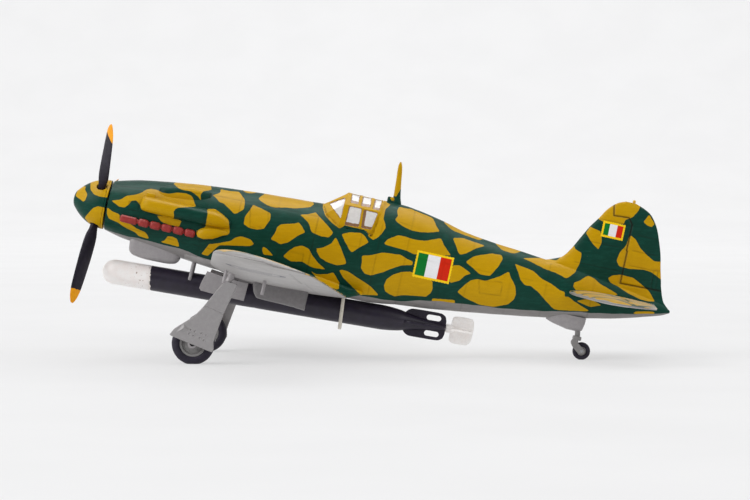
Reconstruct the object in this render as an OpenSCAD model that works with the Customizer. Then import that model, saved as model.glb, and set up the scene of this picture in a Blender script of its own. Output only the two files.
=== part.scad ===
// Scale model of a single-engined, low-wing propeller fighter that carries a
// torpedo, standing on its three wheels.  Millimetres, +Z up.
// The nose points to -X and the left wing to -Y.  The origin is on the ground
// under the middle of the whole model.
// Every piece is drawn in a craft frame first: x runs aft from the spinner tip
// along the thrust line, y to the right wing and z up, square to the thrust
// line.  place() then stands the craft on its wheels.

/* [Stance] */
// Nose-up angle of the thrust line when the model stands on its wheels, degrees
stance = 11.9; // [11.5:0.1:12.3]
// Height of the spinner tip above the ground
nose_height = 34.2; // [33.8:0.1:34.6]

/* [Wing] */
// Span from tip to tip
span = 164.6; // [150:0.2:176]
// Rise of the wing per millimetre of span, outboard of the centre section
dihedral = 0.077; // [0.05:0.001:0.1]
// Thickness of the root section as a part of its chord
root_thickness = 0.165; // [0.12:0.005:0.17]

/* [Tailplane] */
// Span of the tailplane
tail_span = 57; // [50:0.5:62]

/* [Propeller] */
// Radius of the propeller
prop_r = 22.8; // [18:0.1:24]
// Turn of the first blade from straight up, towards the left wing, degrees
prop_turn = 42.3; // [0:0.1:119]
// Radius of the propeller shaft
shaft_r = 0.8; // [0.6:0.05:1]
// Running gap round the shaft
shaft_gap = 0.05; // [0.02:0.01:0.09]

/* [Wheels] */
// Radius of a main tyre
wheel_r = 4.45; // [4:0.05:4.8]
// Width of a main tyre
wheel_w = 2.7; // [2.2:0.1:2.8]
// Distance between the middles of the main tyres
track = 41.6; // [38:0.2:46]
// Depth of the flat that the load presses into a main tyre
wheel_flat = 0.19; // [0.05:0.01:0.25]
// Radius of the tail tyre
tailwheel_r = 1.9; // [1.6:0.05:2]
// Depth of the flat on the tail tyre
tailwheel_flat = 0.04; // [0.02:0.01:0.08]
// Radius of the main axles
axle_r = 0.5; // [0.4:0.05:0.6]
// Running gap round every axle
axle_gap = 0.05; // [0.02:0.01:0.09]

/* [Shell] */
// Wall of the fuselage halves
wall = 1.1; // [0.8:0.1:1.3]

/* [Torpedo] */
// Radius of the torpedo body
torp_r = 2.67; // [2.4:0.01:2.8]
// Nose-down angle of the torpedo against the thrust line, degrees
torp_tilt = 2.6; // [2:0.1:3.2]

/* [Hidden] */

ochre = [0.80, 0.62, 0.06];
green = [0.12, 0.34, 0.28];
grey  = [0.60, 0.59, 0.58];
black = [0.12, 0.10, 0.15];
red   = [0.60, 0.18, 0.17];
white = [0.93, 0.90, 0.87];

cs = cos(stance);
sn = sin(stance);
// The tail end lies at x 130.5, z 3.1: half its distance from the nose centres the model
shift_x = -(130.5*cs + 3.1*sn)/2;

// From the ground frame (distance aft of the nose, height) to the craft frame [x, z]
function to_craft(d, h) = [d*cs - (h - nose_height)*sn, d*sn + (h - nose_height)*cs];
MAIN = to_craft(27.3, wheel_r - wheel_flat);
TAIL = to_craft(109.4, tailwheel_r - tailwheel_flat);
wheel_y = track/2;

module place() { translate([shift_x, 0, nose_height]) rotate([0, stance, 0]) children(); }
// A pair, left and right, from one drawn on the left (negative y)
module both(s) { if (s < 0) children(); else mirror([0, 1, 0]) children(); }

// Solid through a list of rings that all hold the same number of points
module loft(R, flip = false) {
  m = len(R); n = len(R[0]);
  side = [for (i = [0:m-2]) each [for (j = [0:n-1]) each
    [[i*n+j, i*n+(j+1)%n, (i+1)*n+(j+1)%n], [i*n+j, (i+1)*n+(j+1)%n, (i+1)*n+j]]]];
  caps = [[for (j = [n-1:-1:0]) j], [for (j = [0:n-1]) (m-1)*n+j]];
  F = concat(caps, side);
  polyhedron(points = [for (r = R) each r],
    faces = flip ? [for (f = F) [for (k = [len(f)-1:-1:0]) f[k]]] : F, convexity = 8);
}
// Cylinder across the craft from y0 to y1 at [x, z]
module across(p, y0, y1, r, n = 48) {
  translate([p[0], min(y0, y1), p[1]]) rotate([-90, 0, 0]) cylinder(r = r, h = abs(y1 - y0), $fn = n);
}
// Round bar between two points
module bar(a, b, r, n = 24) {
  d = b - a; l = norm(d);
  translate(a) rotate([0, acos(d[2]/l), atan2(d[1], d[0])]) cylinder(r = r, h = l, $fn = n);
}
// Outline in [x, z], as a plate from y0 to y1
module plate(P, y0, y1) {
  translate([0, max(y0, y1), 0]) rotate([90, 0, 0]) linear_extrude(height = abs(y1 - y0)) polygon(P);
}

// ---------------------------------------------------------------- fuselage
// x, top line, belly line, half width, height of the widest line, squareness below it
FUS = [
  [  7.9,  5.35, -5.3,  5.35, 0.0, 2.0], [ 10,  5.95, -5.85, 5.7, 0.0, 2.0],
  [ 12,    6.45, -6.3,  5.95, 0.0, 2.0], [ 15.5, 7.1, -6.75, 6.2, 0.1, 2.1],
  [ 20,    7.75, -7.3,  6.4,  0.2, 2.2], [ 25,   8.4, -7.8,  6.55, 0.2, 2.4],
  [ 31,    8.95, -8.45, 6.65, 0.3, 2.7], [ 38,   9.45, -8.8, 6.75, 0.3, 3.0],
  [ 46,    9.85, -8.8,  6.8,  0.3, 3.0], [ 53,  10.2, -8.65, 6.8, 0.3, 3.0],
  [ 57,   10.9,  -8.6,  6.75, 0.4, 3.0], [ 61,  12.2, -8.6,  6.65, 0.5, 2.9],
  [ 65,   13.55, -8.6,  6.4,  0.6, 2.7], [ 69,  13.5, -8.3,  6.1, 0.7, 2.5],
  [ 73,   13.05, -7.75, 5.75, 0.8, 2.3], [ 78,  12.1, -7.35, 5.35, 0.9, 2.2],
  [ 84,   10.6,  -6.65, 4.9,  1.0, 2.1], [ 90,   9.75, -5.85, 4.4, 1.2, 2.0],
  [ 96,    9.2,  -5.0,  3.9,  1.4, 2.0], [102,   8.55, -4.1,  3.35, 1.6, 2.0],
  [108,    7.8,  -3.1,  2.8,  1.9, 2.0], [114,   6.9, -1.85, 2.2, 2.2, 2.0],
  [120,    5.9,  -0.55, 1.6,  2.5, 2.0], [125,   5.0,  0.85, 1.05, 2.8, 2.0],
  [129,    4.2,   2.1,  0.55, 3.0, 2.0], [130.5, 3.4,  2.85, 0.22, 3.1, 2.0]
];
// One point of a section: a runs from 90 (top) through 0 to -90 (belly)
function fpoint(s, a, t, side) = let(n = a >= 0 ? 2 : s[5])
  [s[0], side*max(0.01, (s[3] - t)*pow(cos(a), 2/n)),
   a >= 0 ? s[4] + (s[1] - t - s[4])*pow(sin(a), 2/n)
          : s[4] - (s[4] - s[2] - t)*pow(-sin(a), 2/n)];
FA = [90, 76, 62, 49, 36, 23, 11, 0, -12, -25, -38, -51, -64, -77, -90];
function fhalf(s, t, side) = [for (a = FA) fpoint(s, a, t, side)];
function ffull(s, t) = concat(fhalf(s, t, 1), [for (i = [len(FA)-2:-1:1]) fpoint(s, FA[i], t, -1)]);
// Cavity: the same sections, drawn in by the wall
CAV = [for (s = FUS) if (s[0] > 9.5 && s[0] < 110) s];

module fus_solid(t = 0) { loft([for (s = FUS) ffull(s, t)]); }
// The stretch of it between two stations
module fus_near(a, b, t = -0.02) { loft([for (s = FUS) if (s[0] >= a && s[0] <= b) ffull(s, t)]); }

// Fin: height, front edge, rear edge, half thickness
FIN = [
  [  3.6, 112,   130.1, 0.35], [ 5.0, 108,  128.7, 0.62], [ 7.4, 102.5, 127.75, 1.0],
  [  8.9, 104.2, 127.35, 1.1], [ 9.9, 105.6, 127.1, 1.1], [11.7, 106.7, 126.65, 1.08],
  [ 14.6, 108.25, 126, 1.0], [17.5, 109.8, 125.05, 0.9], [20, 111.5, 124.05, 0.78],
  [ 21.8, 112.6, 122.9, 0.66], [22.9, 113.6, 121.85, 0.56], [23.8, 114.75, 120.1, 0.42],
  [ 24.4, 116.2, 118.4, 0.2]
];
FU = [0, 0.03, 0.1, 0.22, 0.38, 0.55, 0.72, 0.86, 1];
function naca(u) = 5*(0.2969*sqrt(u) - 0.126*u - 0.3516*u*u + 0.2843*u*u*u - 0.1036*u*u*u*u);
function finring(f, side) = concat(
  [for (u = FU) [f[1] + (f[2]-f[1])*u, side*(0.01 + f[3]*2*naca(u) + 0.12*u), f[0]]],
  [[f[2], side*0.01, f[0]], [f[1], side*0.01, f[0]]]);
module fin_half(side) { loft([for (f = FIN) finring(f, side)], side < 0); }

// What the lower wing moulding takes from the belly, seen from the side
function belly(g) = [[26 - g, -6.7 + g], [29, -6.7 + g], [62, -8.28 + g], [66 + g, -8.28 + g], [66 + g, -12], [26 - g, -12]];
// What the canopy takes from the top, seen from the side
function hood(g) = [[52.6 - g, 10.6], [53.0 - g, 9.4 - g], [53.7 - g, 8.1 - g], [56.9, 6.05 - g], [63.0, 6.35 - g],
  [64.5 + g, 5.45 - g], [65.3 + g, 14.6], [52.6 - g, 14.6]];

module fuselage_half(side) {
  difference() {
    union() {
      loft([for (s = FUS) fhalf(s, 0, side)], side < 0);
      fin_half(side);
    }
    loft([for (s = CAV) ffull(s, wall)]);
    plate(belly(0.02), -9, 9);
    plate(hood(0.02), -9, 9);
    translate([0, 0, 0]) rotate([0, 90, 0]) cylinder(r = 4.4, h = 12, $fn = 64);
    // sockets of the tailplane
    plate([[108.5, 2.3], [118, 2.6], [118, 4.1], [108.5, 3.9]], -6, 6);
  }
}
module fuselage_left()  { color(ochre) place() fuselage_half(-1); }
module fuselage_right() { color(green) place() fuselage_half(1); }

// ---------------------------------------------------------------- wing
half_span = span/2;
tip_y = half_span - 10.3;
function sup(s, n) = 1 - pow(max(0, 1 - pow(s, n)), 1/n);
function w_t(y) = max(0, (abs(y) - tip_y)/10.3);
function w_le0(y) = 32 + max(0, abs(y) - 7)*0.06;
function w_te0(y) = 62 - max(0, abs(y) - 8)*0.105;
function w_le(y) = w_le0(y) + (46.5 - w_le0(y))*sup(min(1, w_t(y)), 2.4)*0.95;
function w_te(y) = w_te0(y) - (w_te0(y) - 47.5)*sup(min(1, w_t(y)), 2.4)*0.9;
// Height of the chord line at its front and rear ends
function w_rise(y) = max(0, abs(y) - 8)*dihedral;
function w_zl(y) = -6.7 + w_rise(y) - 1.1*abs(y)/half_span*0.9;
function w_zt(y) = -8.28 + w_rise(y) + 0.25*abs(y)/half_span;
function w_th(y) = (root_thickness - 0.04*abs(y)/half_span)*(1 - 0.55*sup(min(1, w_t(y)), 2.2));
WU = [0, 0.012, 0.05, 0.12, 0.22, 0.36, 0.52, 0.68, 0.84, 1];
function wpt(y, u, k) = let(a = w_le(y), b = w_te(y), c = b - a)
  [a + c*u, y, w_zl(y)*(1-u) + w_zt(y)*u + k*(w_th(y)*c*naca(u) + 0.14*u)];
function wring(y, k) = concat([for (u = WU) wpt(y, u, k)], [wpt(y, 1, 0)]);
WY = [8, 20, 34, 48, 60, tip_y, tip_y + 4, tip_y + 7, tip_y + 9, tip_y + 10, half_span];
WALL = concat([for (i = [len(WY)-1:-1:0]) -WY[i]], WY);

module wing_bottom() {
  color(grey) place() difference() {
    union() {
      translate([0, 0, -0.02]) loft([for (y = WALL) wring(y, -0.85)], false);
      intersection() { fus_solid(); plate(belly(0), -7.4, 7.4); }
    }
    // seats of the legs
    for (s = [-1, 1]) bar([38.36, s*leg_y, -5.3], [37.0, s*leg_y, -11.7], 0.76);
  }
}
module wing_top(side) {
  difference() {
    loft([for (y = side < 0 ? [for (i = [len(WY)-1:-1:0]) -WY[i], -4.4] : concat([4.4], WY)) wring(y, 1.15)], true);
    fus_near(20, 73);
    // hollow of the moulding
    loft([for (y = side < 0 ? [-58, -40, -10] : [10, 40, 58])
      [for (q = [[0.16, -0.5], [0.2, 0.62], [0.36, 0.74], [0.55, 0.6], [0.6, -0.5]])
        let(p = wpt(y, q[0], 1.15*q[1])) [p[0], p[1], q[1] < 0 ? p[2] - 2 : p[2]]]], true);
  }
}
module wing_top_left()  { color(ochre) place() wing_top(-1); }
module wing_top_right() { color(green) place() wing_top(1); }

// ---------------------------------------------------------------- tailplane
th = tail_span/2;
function t_s(y) = max(0, (abs(y) - (th - 8))/8);
function t_le(y) = let(a = 108.2 + max(0, abs(y) - 2.4)*0.2) a + (118.5 - a)*sup(min(1, t_s(y)), 2.2)*0.93;
function t_te(y) = let(a = 126.6 - max(0, abs(y) - 2.4)*0.075) a - (a - 119.5)*sup(min(1, t_s(y)), 2.2)*0.85;
function t_z(x, y) = 2.85 + (x - 108.2)*0.055 - abs(y)*0.007;
function tpt(y, u, k) = let(a = t_le(y), b = t_te(y), c = b - a, x = a + c*u)
  [x, y, t_z(x, y) + k*(0.085*c*(1 - 0.4*sup(min(1, t_s(y)), 2))*naca(u) + 0.12*u + 0.05)];
function tring(y) = concat([for (u = FU) tpt(y, u, 1)], [for (i = [len(FU)-1:-1:0]) tpt(y, FU[i], -1)]);
TY = [1.2, 6, 12, 17, th - 8, th - 5, th - 2.6, th - 1.1, th - 0.3, th];
module tailplane(side) {
  difference() {
    loft([for (y = side < 0 ? [for (i = [len(TY)-1:-1:0]) -TY[i]] : TY) tring(y)], true);
    fus_near(100, 131);
    translate([0, side*-0.02, 0]) fin_half(side);
  }
  // tongue in the fuselage socket
  plate([[108.7, 2.5], [117.8, 2.75], [117.8, 3.9], [108.7, 3.7]], side*0.4, side*2.4);
}
module tailplane_left()  { color(ochre) place() tailplane(-1); }
module tailplane_right() { color(green) place() tailplane(1); }

// Small lamp on top of the fin
module fin_light() {
  color(ochre) place() translate([118.0, 0, 24.42]) {
    cylinder(r = 0.32, h = 0.35, $fn = 24);
    translate([0, 0, 0.35]) scale(1) sphere(r = 0.32, $fn = 24);
  }
}

// ---------------------------------------------------------------- propeller and nose
module nose_plate() {
  color(black) place() rotate([0, 90, 0]) difference() {
    translate([0, 0, 8.5]) cylinder(r = 4.36, h = 1.6, $fn = 64);
    translate([0, 0, 8]) cylinder(r = 1.6, h = 3, $fn = 48);
  }
}
module shaft_bearing() {
  color("goldenrod") place() rotate([0, 90, 0]) difference() {
    union() {
      translate([0, 0, 8.3]) cylinder(r = 1.6, h = 8, $fn = 48);
      translate([0, 0, 10.12]) cylinder(r = 2.4, h = 0.8, $fn = 48);
    }
    translate([0, 0, 8]) cylinder(r = shaft_r + shaft_gap, h = 9, $fn = 48);
  }
}
module propeller_shaft() {
  color("silver") place() rotate([0, 90, 0]) translate([0, 0, 2.6]) cylinder(r = shaft_r, h = 16.2, $fn = 48);
}
module shaft_collar() {
  color("silver") place() rotate([0, 90, 0]) translate([0, 0, 16.7]) difference() {
    cylinder(r = 1.7, h = 1.5, $fn = 48);
    translate([0, 0, -1]) cylinder(r = shaft_r, h = 4, $fn = 48);
  }
}
SPIN = [[0, 0], [0.6, 0.06], [1.2, 0.2], [1.75, 0.5], [2.2, 0.9], [2.8, 1.45], [3.3, 2], [4.05, 3], [4.6, 4], [4.95, 5], [5.2, 6], [5.33, 7]];
module spinner() {
  color(green) place() difference() {
    rotate([0, 90, 0]) rotate_extrude($fn = 72) polygon(concat(SPIN, [[4.55, 7], [4.4, 5.2], [3.7, 3.6], [2.4, 2.3], [0, 1.8]]));
    for (k = [0:2]) rotate([prop_turn + 120*k, 0, 0]) translate([5.75, 0, 2]) cylinder(r = 1.12, h = 5, $fn = 32);
  }
}
module spinner_backplate() {
  color(ochre) place() rotate([0, 90, 0]) translate([0, 0, 7.02]) difference() {
    cylinder(r = 5.33, h = 0.46, $fn = 72);
    translate([0, 0, -1]) cylinder(r = shaft_r, h = 3, $fn = 48);
  }
}
// Blade sections: radius, chord, thickness, angle from the disc plane
BLADE = [[3.6, 1.7, 1.6, 60], [5.4, 1.75, 1.45, 58], [7.5, 2.8, 1.2, 50], [10, 3.5, 0.95, 41], [13, 3.9, 0.75, 35],
         [16, 3.85, 0.6, 33], [18.5, 3.6, 0.5, 32], [20.5, 2.9, 0.42, 32], [21.7, 1.9, 0.34, 31], [22.4, 0.8, 0.22, 31]];
// How far the tips of the three blades lean aft
LEAN = [0.6, -0.75, 0];
function bring(b, lean) = [for (i = [0:11]) let(a = 30*i, c = b[1]/2*cos(a), t = b[2]/2*sin(a)*(1 + 0.25*cos(a)),
  k = (b[0] - 3.6)/18.8) [5.75 + lean*k - c*sin(b[3]) + t*cos(b[3]), c*cos(b[3]) + t*sin(b[3]), 3.6 + k*(prop_r - 3.6)]];
module propeller() {
  color(black) place() {
    rotate([0, 90, 0]) difference() {
      union() {
        translate([0, 0, 3.6]) cylinder(r = 2.2, h = 3.4, $fn = 48);
      }
      translate([0, 0, 1]) cylinder(r = shaft_r, h = 8, $fn = 48);
    }
    for (k = [0:2]) rotate([prop_turn + 120*k, 0, 0]) {
      translate([5.75, 0, 1.5]) cylinder(r = 1.0, h = 2.8, $fn = 32);
      loft([for (b = BLADE) bring(b, LEAN[k])]);
    }
  }
}

// ---------------------------------------------------------------- cowling pieces
// Rounded lump: a box from p to q whose edges are drawn in, with its ends along x
module lump(p, q, e) {
  function r(x, i) = [[x, p[1]+i, p[2]+i+e], [x, p[1]+i+e, p[2]+i], [x, q[1]-i-e, p[2]+i], [x, q[1]-i, p[2]+i+e],
                      [x, q[1]-i, q[2]-i-e], [x, q[1]-i-e, q[2]-i], [x, p[1]+i+e, q[2]-i], [x, p[1]+i, q[2]-i-e]];
  loft([r(p[0], e*0.8), r(p[0]+e, 0), r(q[0]-e, 0), r(q[0], e*0.8)], true);
}
module exhaust() {
  // backing strip and six stubs in a row under each other's slipstream
  difference() {
    union() {
      translate([11.6, -6.9, -2.5]) cube([16.4, 1.5, 1.15]);
      lump([11.2, -7.2, -2.75], [14.9, -5.5, -1.15], 0.35);
      for (k = [0:4]) lump([15.25 + 2.52*k, -7.6, -2.75], [17.45 + 2.52*k, -5.5, -1.15], 0.4);
    }
    fus_near(7, 32);
  }
}
module exhaust_left()  { color(red) place() exhaust(); }
module exhaust_right() { color(red) place() both(1) exhaust(); }

// Intake trunk: x, upper edge, lower edge, outermost y
INT = [[15.0, 3.3, 0.9, 6.85], [15.7, 3.75, 0.55, 7.7], [17, 3.8, 0.4, 8.1], [22, 3.8, 0.35, 8.3], [28, 3.8, 0.2, 8.3],
       [31, 3.7, 0.3, 8.1], [33.2, 3.05, 0.4, 7.7], [34.4, 2.4, 0.6, 7.15]];
module supercharger_intake() {
  color(ochre) place() difference() {
    loft([for (s = INT) let(h = s[1] - s[2]) [[s[0], -4.6, s[2]], [s[0], -s[3]+0.9, s[2]], [s[0], -s[3]+0.3, s[2]+0.1*h], [s[0], -s[3], s[2]+0.3*h],
      [s[0], -s[3]+0.05, s[2]+0.65*h], [s[0], -s[3]+0.4, s[2]+0.88*h], [s[0], -s[3]+1.1, s[1]], [s[0], -4.6, s[1]]]]);
    fus_near(12, 38);
  }
}
// Low fairings over the gun breeches on the top of the cowling
module gun_fairings() {
  color(green) place() difference() {
    for (s = [-1, 1])
      loft([for (q = [[18, 0.1], [19.5, 0.7], [22, 1.0], [25, 1.0], [27, 0.75], [29, 0.15]]) let(z = lookup(q[0], [[18, 6.0], [29, 7.2]]), w = 1.3*sqrt(q[1]) + 0.1)
        [for (i = [0:9]) let(a = 36*i) [q[0], s*4.1 + w*cos(a), z - 0.9 + (q[1]*0.9 + 1.0)*sin(a)]]], true);
    fus_near(15, 38);
  }
}
// Oil cooler under the nose: x, top, bottom, half width
OIL = [[13.9, -7.3, 1.9], [14.2, -8.7, 2.7], [15.2, -9.35, 3.0], [18.5, -9.7, 3.1], [22, -9.65, 3.0], [24.2, -9.3, 2.7], [25, -8.4, 2.2]];
module oil_cooler() {
  color(grey) place() difference() {
    loft([for (s = OIL) [for (i = [0:8]) let(a = 180 + 22.5*i) [s[0], s[2]*(abs(cos(a)) < 0.01 ? 0 : sign(cos(a))*pow(abs(cos(a)), 0.6)),
      -5.6 + (s[1] + 5.6)*pow(abs(sin(a)), 0.5)]]], true);
    fus_near(10, 32);
    translate([13, -1.9, -8.75]) cube([2.3, 3.8, 1.5]);
  }
}
module oil_cooler_core() {
  color(black) place() translate([14.6, -1.88, -8.73]) cube([0.68, 3.76, 1.2]);
}

// ---------------------------------------------------------------- cockpit
module hood_form(t) {
  hull() {
    // front foot of the windscreen
    for (s = [-1, 1]) {
      translate([52.9 + 1.6*t, s*(1.7 - t*0.5), 10.0 - t]) sphere(r = 0.15, $fn = 8);
      translate([53.5 + 1.6*t, s*(3.7 - t), 8.1]) sphere(r = 0.15, $fn = 8);
      translate([56.9 + t, s*(5.2 - t), 5.6]) sphere(r = 0.15, $fn = 8);
      translate([57.3 + t, s*(4.1 - t), 11.0 - t*0.3]) sphere(r = 0.15, $fn = 8);
      translate([57.6 + t, s*(1.75 - t*0.4), 13.5 - t]) sphere(r = 0.15, $fn = 8);
    }
  }
  hull() for (s = [-1, 1]) {
      translate([56.9 + t, s*(5.2 - t), 5.6]) sphere(r = 0.15, $fn = 8);
      translate([57.3 + t, s*(4.1 - t), 11.0 - t*0.3]) sphere(r = 0.15, $fn = 8);
      translate([57.6 + t, s*(1.75 - t*0.4), 13.5 - t]) sphere(r = 0.15, $fn = 8);
      translate([64.9, s*(5.1 - t), 5.0]) sphere(r = 0.15, $fn = 8);
      translate([65.2, s*(3.85 - t), 11.0 - t*0.3]) sphere(r = 0.15, $fn = 8);
      translate([65.2, s*(1.7 - t*0.4), 13.4 - t]) sphere(r = 0.15, $fn = 8);
  }
}
module canopy() {
  color([0.85, 0.8, 0.5, 0.6]) place() intersection() {
    plate(hood(0), -7, 7);
    difference() { hood_form(0); hood_form(0.5); }
  }
}
module cockpit_floor() {
  color(green) place() {
    translate([53.4, -4.9, -3.2]) cube([12.2, 9.8, 0.7]);
    for (s = [-1, 1]) translate([54.2, s*4.75 - 0.35, -2.5]) cube([10.6, 0.7, 6.4]);
  }
}
module rear_bulkhead() {
  color(green) place() translate([65.62, 0, 0]) rotate([90, 0, 90]) linear_extrude(height = 0.8)
    polygon([[-4.9, -3.2], [4.9, -3.2], [5.0, 2], [4.2, 6.5], [2.9, 10], [1.2, 11.9], [-1.2, 11.9], [-2.9, 10], [-4.2, 6.5], [-5.0, 2]]);
}
module seat() {
  color(black) place() {
    translate([60.4, -2.2, -2.5]) cube([3.4, 4.4, 0.9]);
    translate([60.0, -2.4, -1.6]) cube([4.2, 4.8, 0.8]);
    plate([[63.6, -0.8], [64.6, -0.8], [65.3, 5.2], [64.6, 5.2]], -2.3, 2.3);
  }
}
module instrument_panel() {
  color(black) place() difference() {
    translate([55.0, -3.3, 2.0]) cube([0.8, 6.6, 4.4]);
    for (q = [[-2.3, 5.1], [-0.8, 5.3], [0.8, 5.3], [2.3, 5.1], [-1.7, 3.4], [0, 3.6], [1.7, 3.4]])
      translate([55.55, q[0], q[1]]) rotate([0, 90, 0]) cylinder(r = 0.6, h = 1, $fn = 24);
  }
}
module control_stick() {
  color(black) place() {
    bar([58.3, 0, -2.5], [58.7, 0, 1.6], 0.28);
    translate([58.3, 0, -2.5]) cylinder(r = 0.8, h = 0.5, $fn = 24);
    translate([58.72, 0, 2.0]) sphere(r = 0.5, $fn = 24);
  }
}
// Mast behind the canopy with its foot
MAST = [[13.1, 66.6, 69.2, 0.55], [13.9, 67.0, 69.0, 0.5], [14.6, 67.1, 68.75, 0.42], [18, 66.95, 68.15, 0.33], [21.5, 66.75, 67.6, 0.24], [22.4, 66.95, 67.25, 0.12]];
module antenna_mast() {
  color(ochre) place() difference() {
    union() {
      loft([for (m = MAST) let(c = (m[1]+m[2])/2, h = (m[2]-m[1])/2) [for (i = [0:9]) let(a = 36*i) [c + h*cos(a), m[3]*sin(a), m[0]]]], true);
      lump([65.9, -0.6, 12.9], [67.3, 0.6, 14.7], 0.25);
    }
    fus_near(60, 79);
  }
}

// ---------------------------------------------------------------- under the wing
module radiator() {
  difference() {
    loft([for (q = [[42.1, -9.6, 2.4], [42.6, -11.0, 2.9], [43.6, -12.1, 3.0], [49.6, -12.3, 3.0], [51.5, -12.4, 3.0], [53.8, -12.6, 2.9]])
      [for (i = [0:8]) let(a = 180 + 22.5*i) [q[0], -12.4 + q[2]*(abs(cos(a)) < 0.01 ? 0 : sign(cos(a))*pow(abs(cos(a)), 0.45)),
        -7.2 + (q[1] + 7.2)*pow(abs(sin(a)), 0.4)]]], true);
    intersection() {
      translate([0, 0, -0.06]) loft([for (y = [-20, -8]) [wpt(y, 0.2, -0.86), wpt(y, 0.36, -0.86), wpt(y, 0.52, -0.86), wpt(y, 0.68, -0.86), wpt(y, 0.84, -0.86),
        [63, y, -2], [30, y, -2]]], false);
      translate([40, -18, -12]) cube([16, 12, 12]);
    }
    // air passage, open at the front and the rear
    translate([41, -14.5, -11.6]) cube([3.6, 4.2, 1.35]);
    translate([51.2, -14.5, -11.8]) cube([4, 4.2, 1.6]);
  }
}
module radiator_left()  { color(grey) place() radiator(); }
module radiator_right() { color(grey) place() both(1) radiator(); }
module inner_door() {
  plate([[31.8, -9.05], [31.0, -11.9], [30.9, -12.9], [31.3, -13.35], [34, -13.5], [38, -13.55], [40.7, -13.6], [40.9, -9.75], [36, -9.55]], -7.75, -7.2);
}
module inner_door_left()  { color(grey) place() inner_door(); }
module inner_door_right() { color(grey) place() both(1) inner_door(); }
// Four short pins under the wings
module wing_pins() {
  color(grey) place() for (s = [-1, 1]) {
    bar([36.95, s*30, -7.05], [36.8, s*30, -9.7], 0.36);
    bar([45.0, s*30, -7.6], [45.0, s*30, -10.4], 0.36);
  }
}

// ---------------------------------------------------------------- main gear
leg_y = -(wheel_y + wheel_w/2 + 0.7);
module gear_leg() {
  difference() {
    union() {
      bar([38.15, leg_y, -6.3], [37.0, leg_y, -11.7], 0.72);
      bar([37.0, leg_y, -11.7], [MAIN[0], leg_y, MAIN[1]], 0.5);
      bar([37.0, leg_y, -11.7], [35.2, leg_y, -17.6], 0.62);
      across(MAIN, leg_y - 0.52, leg_y + 0.52, 0.95);
    }
    across(MAIN, leg_y - 2, leg_y + 2, axle_r);
  }
}
COVER = [[36.7, -9.5], [34.35, -14.0], [33.3, -16.0], [32.05, -18.0], [30.4, -19.6], [28.6, -21.3], [27.8, -22.85],
         [32.5, -23.7], [37.2, -24.5], [37.4, -23.8], [37.0, -22.2], [37.95, -15.9], [38.75, -12.7], [39.5, -9.6]];
module gear_cover() {
  difference() {
    plate(COVER, leg_y - 1.05, leg_y - 0.35);
    bar([38.15, leg_y, -6.3], [37.0, leg_y, -11.7], 0.74);
    bar([37.0, leg_y, -11.7], [MAIN[0], leg_y, MAIN[1]], 0.52);
    bar([37.0, leg_y, -11.7], [35.2, leg_y, -17.6], 0.64);
    across(MAIN, leg_y - 0.56, leg_y + 0.6, 1.0);
  }
}
module gear_leg_left()    { color(grey) place() gear_leg(); }
module gear_leg_right()   { color(grey) place() both(1) gear_leg(); }
module gear_cover_left()  { color(grey) place() gear_cover(); }
module gear_cover_right() { color(grey) place() both(1) gear_cover(); }
module main_axle() {
  across(MAIN, leg_y - 0.52, -wheel_y + wheel_w/2 + 0.1, axle_r);
  across(MAIN, -wheel_y + wheel_w/2 + 0.1, -wheel_y + wheel_w/2 + 0.4, 1.0);
}
module main_axle_left()  { color("silver") place() main_axle(); }
module main_axle_right() { color("silver") place() both(1) main_axle(); }
hub_r = 2.75;
module wheel_hub() {
  translate([MAIN[0], -wheel_y, MAIN[1]]) rotate([90, 0, 0]) rotate_extrude($fn = 72)
    polygon([[axle_r + axle_gap, -1.3], [1.1, -1.3], [1.2, -0.75], [2.1, -0.6], [2.3, -1.15], [hub_r, -1.15],
             [hub_r, 1.15], [2.3, 1.15], [2.1, 0.6], [1.2, 0.75], [1.1, 1.3], [axle_r + axle_gap, 1.3]]);
}
module tyre() {
  w = wheel_w/2; R = wheel_r;
  translate([MAIN[0], -wheel_y, MAIN[1]]) rotate([90, 0, 0]) rotate_extrude($fn = 96)
    polygon([[hub_r, -w*0.8], [hub_r + 0.35, -w*0.98], [R - 0.9, -w], [R - 0.45, -w*0.86], [R - 0.13, -w*0.55], [R, -w*0.2],
             [R, w*0.2], [R - 0.13, w*0.55], [R - 0.45, w*0.86], [R - 0.9, w], [hub_r + 0.35, w*0.98], [hub_r, w*0.8]]);
}
module wheel_hub_left()  { color(grey) place() wheel_hub(); }
module wheel_hub_right() { color(grey) place() both(1) wheel_hub(); }
// The ground, which the flats of the tyres rest on
module ground() { translate([-80, -40, -3]) cube([160, 80, 3]); }
module tyre_left()  { color(black) difference() { place() tyre(); ground(); } }
module tyre_right() { color(black) difference() { place() both(1) tyre(); ground(); } }

// ---------------------------------------------------------------- torpedo
// Torpedo frame: s runs aft along the torpedo from its nose
module torp() { translate([9.25, 0, -13.86]) rotate([0, -torp_tilt, 0]) children(); }
// What the torpedo's fittings hang from: the wing's lower skin and the belly between two stations
module underside(a, b) {
  translate([0, 0, -0.03]) {
    loft([for (y = [-6, 6]) concat([for (u = WU) wpt(y, u, -0.85)], [[64, y, -2], [28, y, -2]])]);
    fus_near(a, b, 0);
  }
}
module torpedo_rack() {
  color(grey) place() difference() {
    translate([38.4, -1.1, -10.6]) cube([15, 2.2, 1.9]);
    torp() translate([20, 0, 0]) rotate([0, 90, 0]) cylinder(r = torp_r + 0.01, h = 35, $fn = 64);
    underside(31, 61);
  }
}
// Sway braces in front, one each side of the torpedo
module torpedo_braces() {
  color(grey) place() difference() {
    for (s = [-1, 1]) bar([28.25, s*2.1, -7.6], [28.15, s*2.25, -12], 0.37);
    torp() rotate([0, 90, 0]) translate([0, 0, 5]) cylinder(r = torp_r + 0.01, h = 40, $fn = 64);
    fus_near(20, 38);
  }
}
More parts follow.
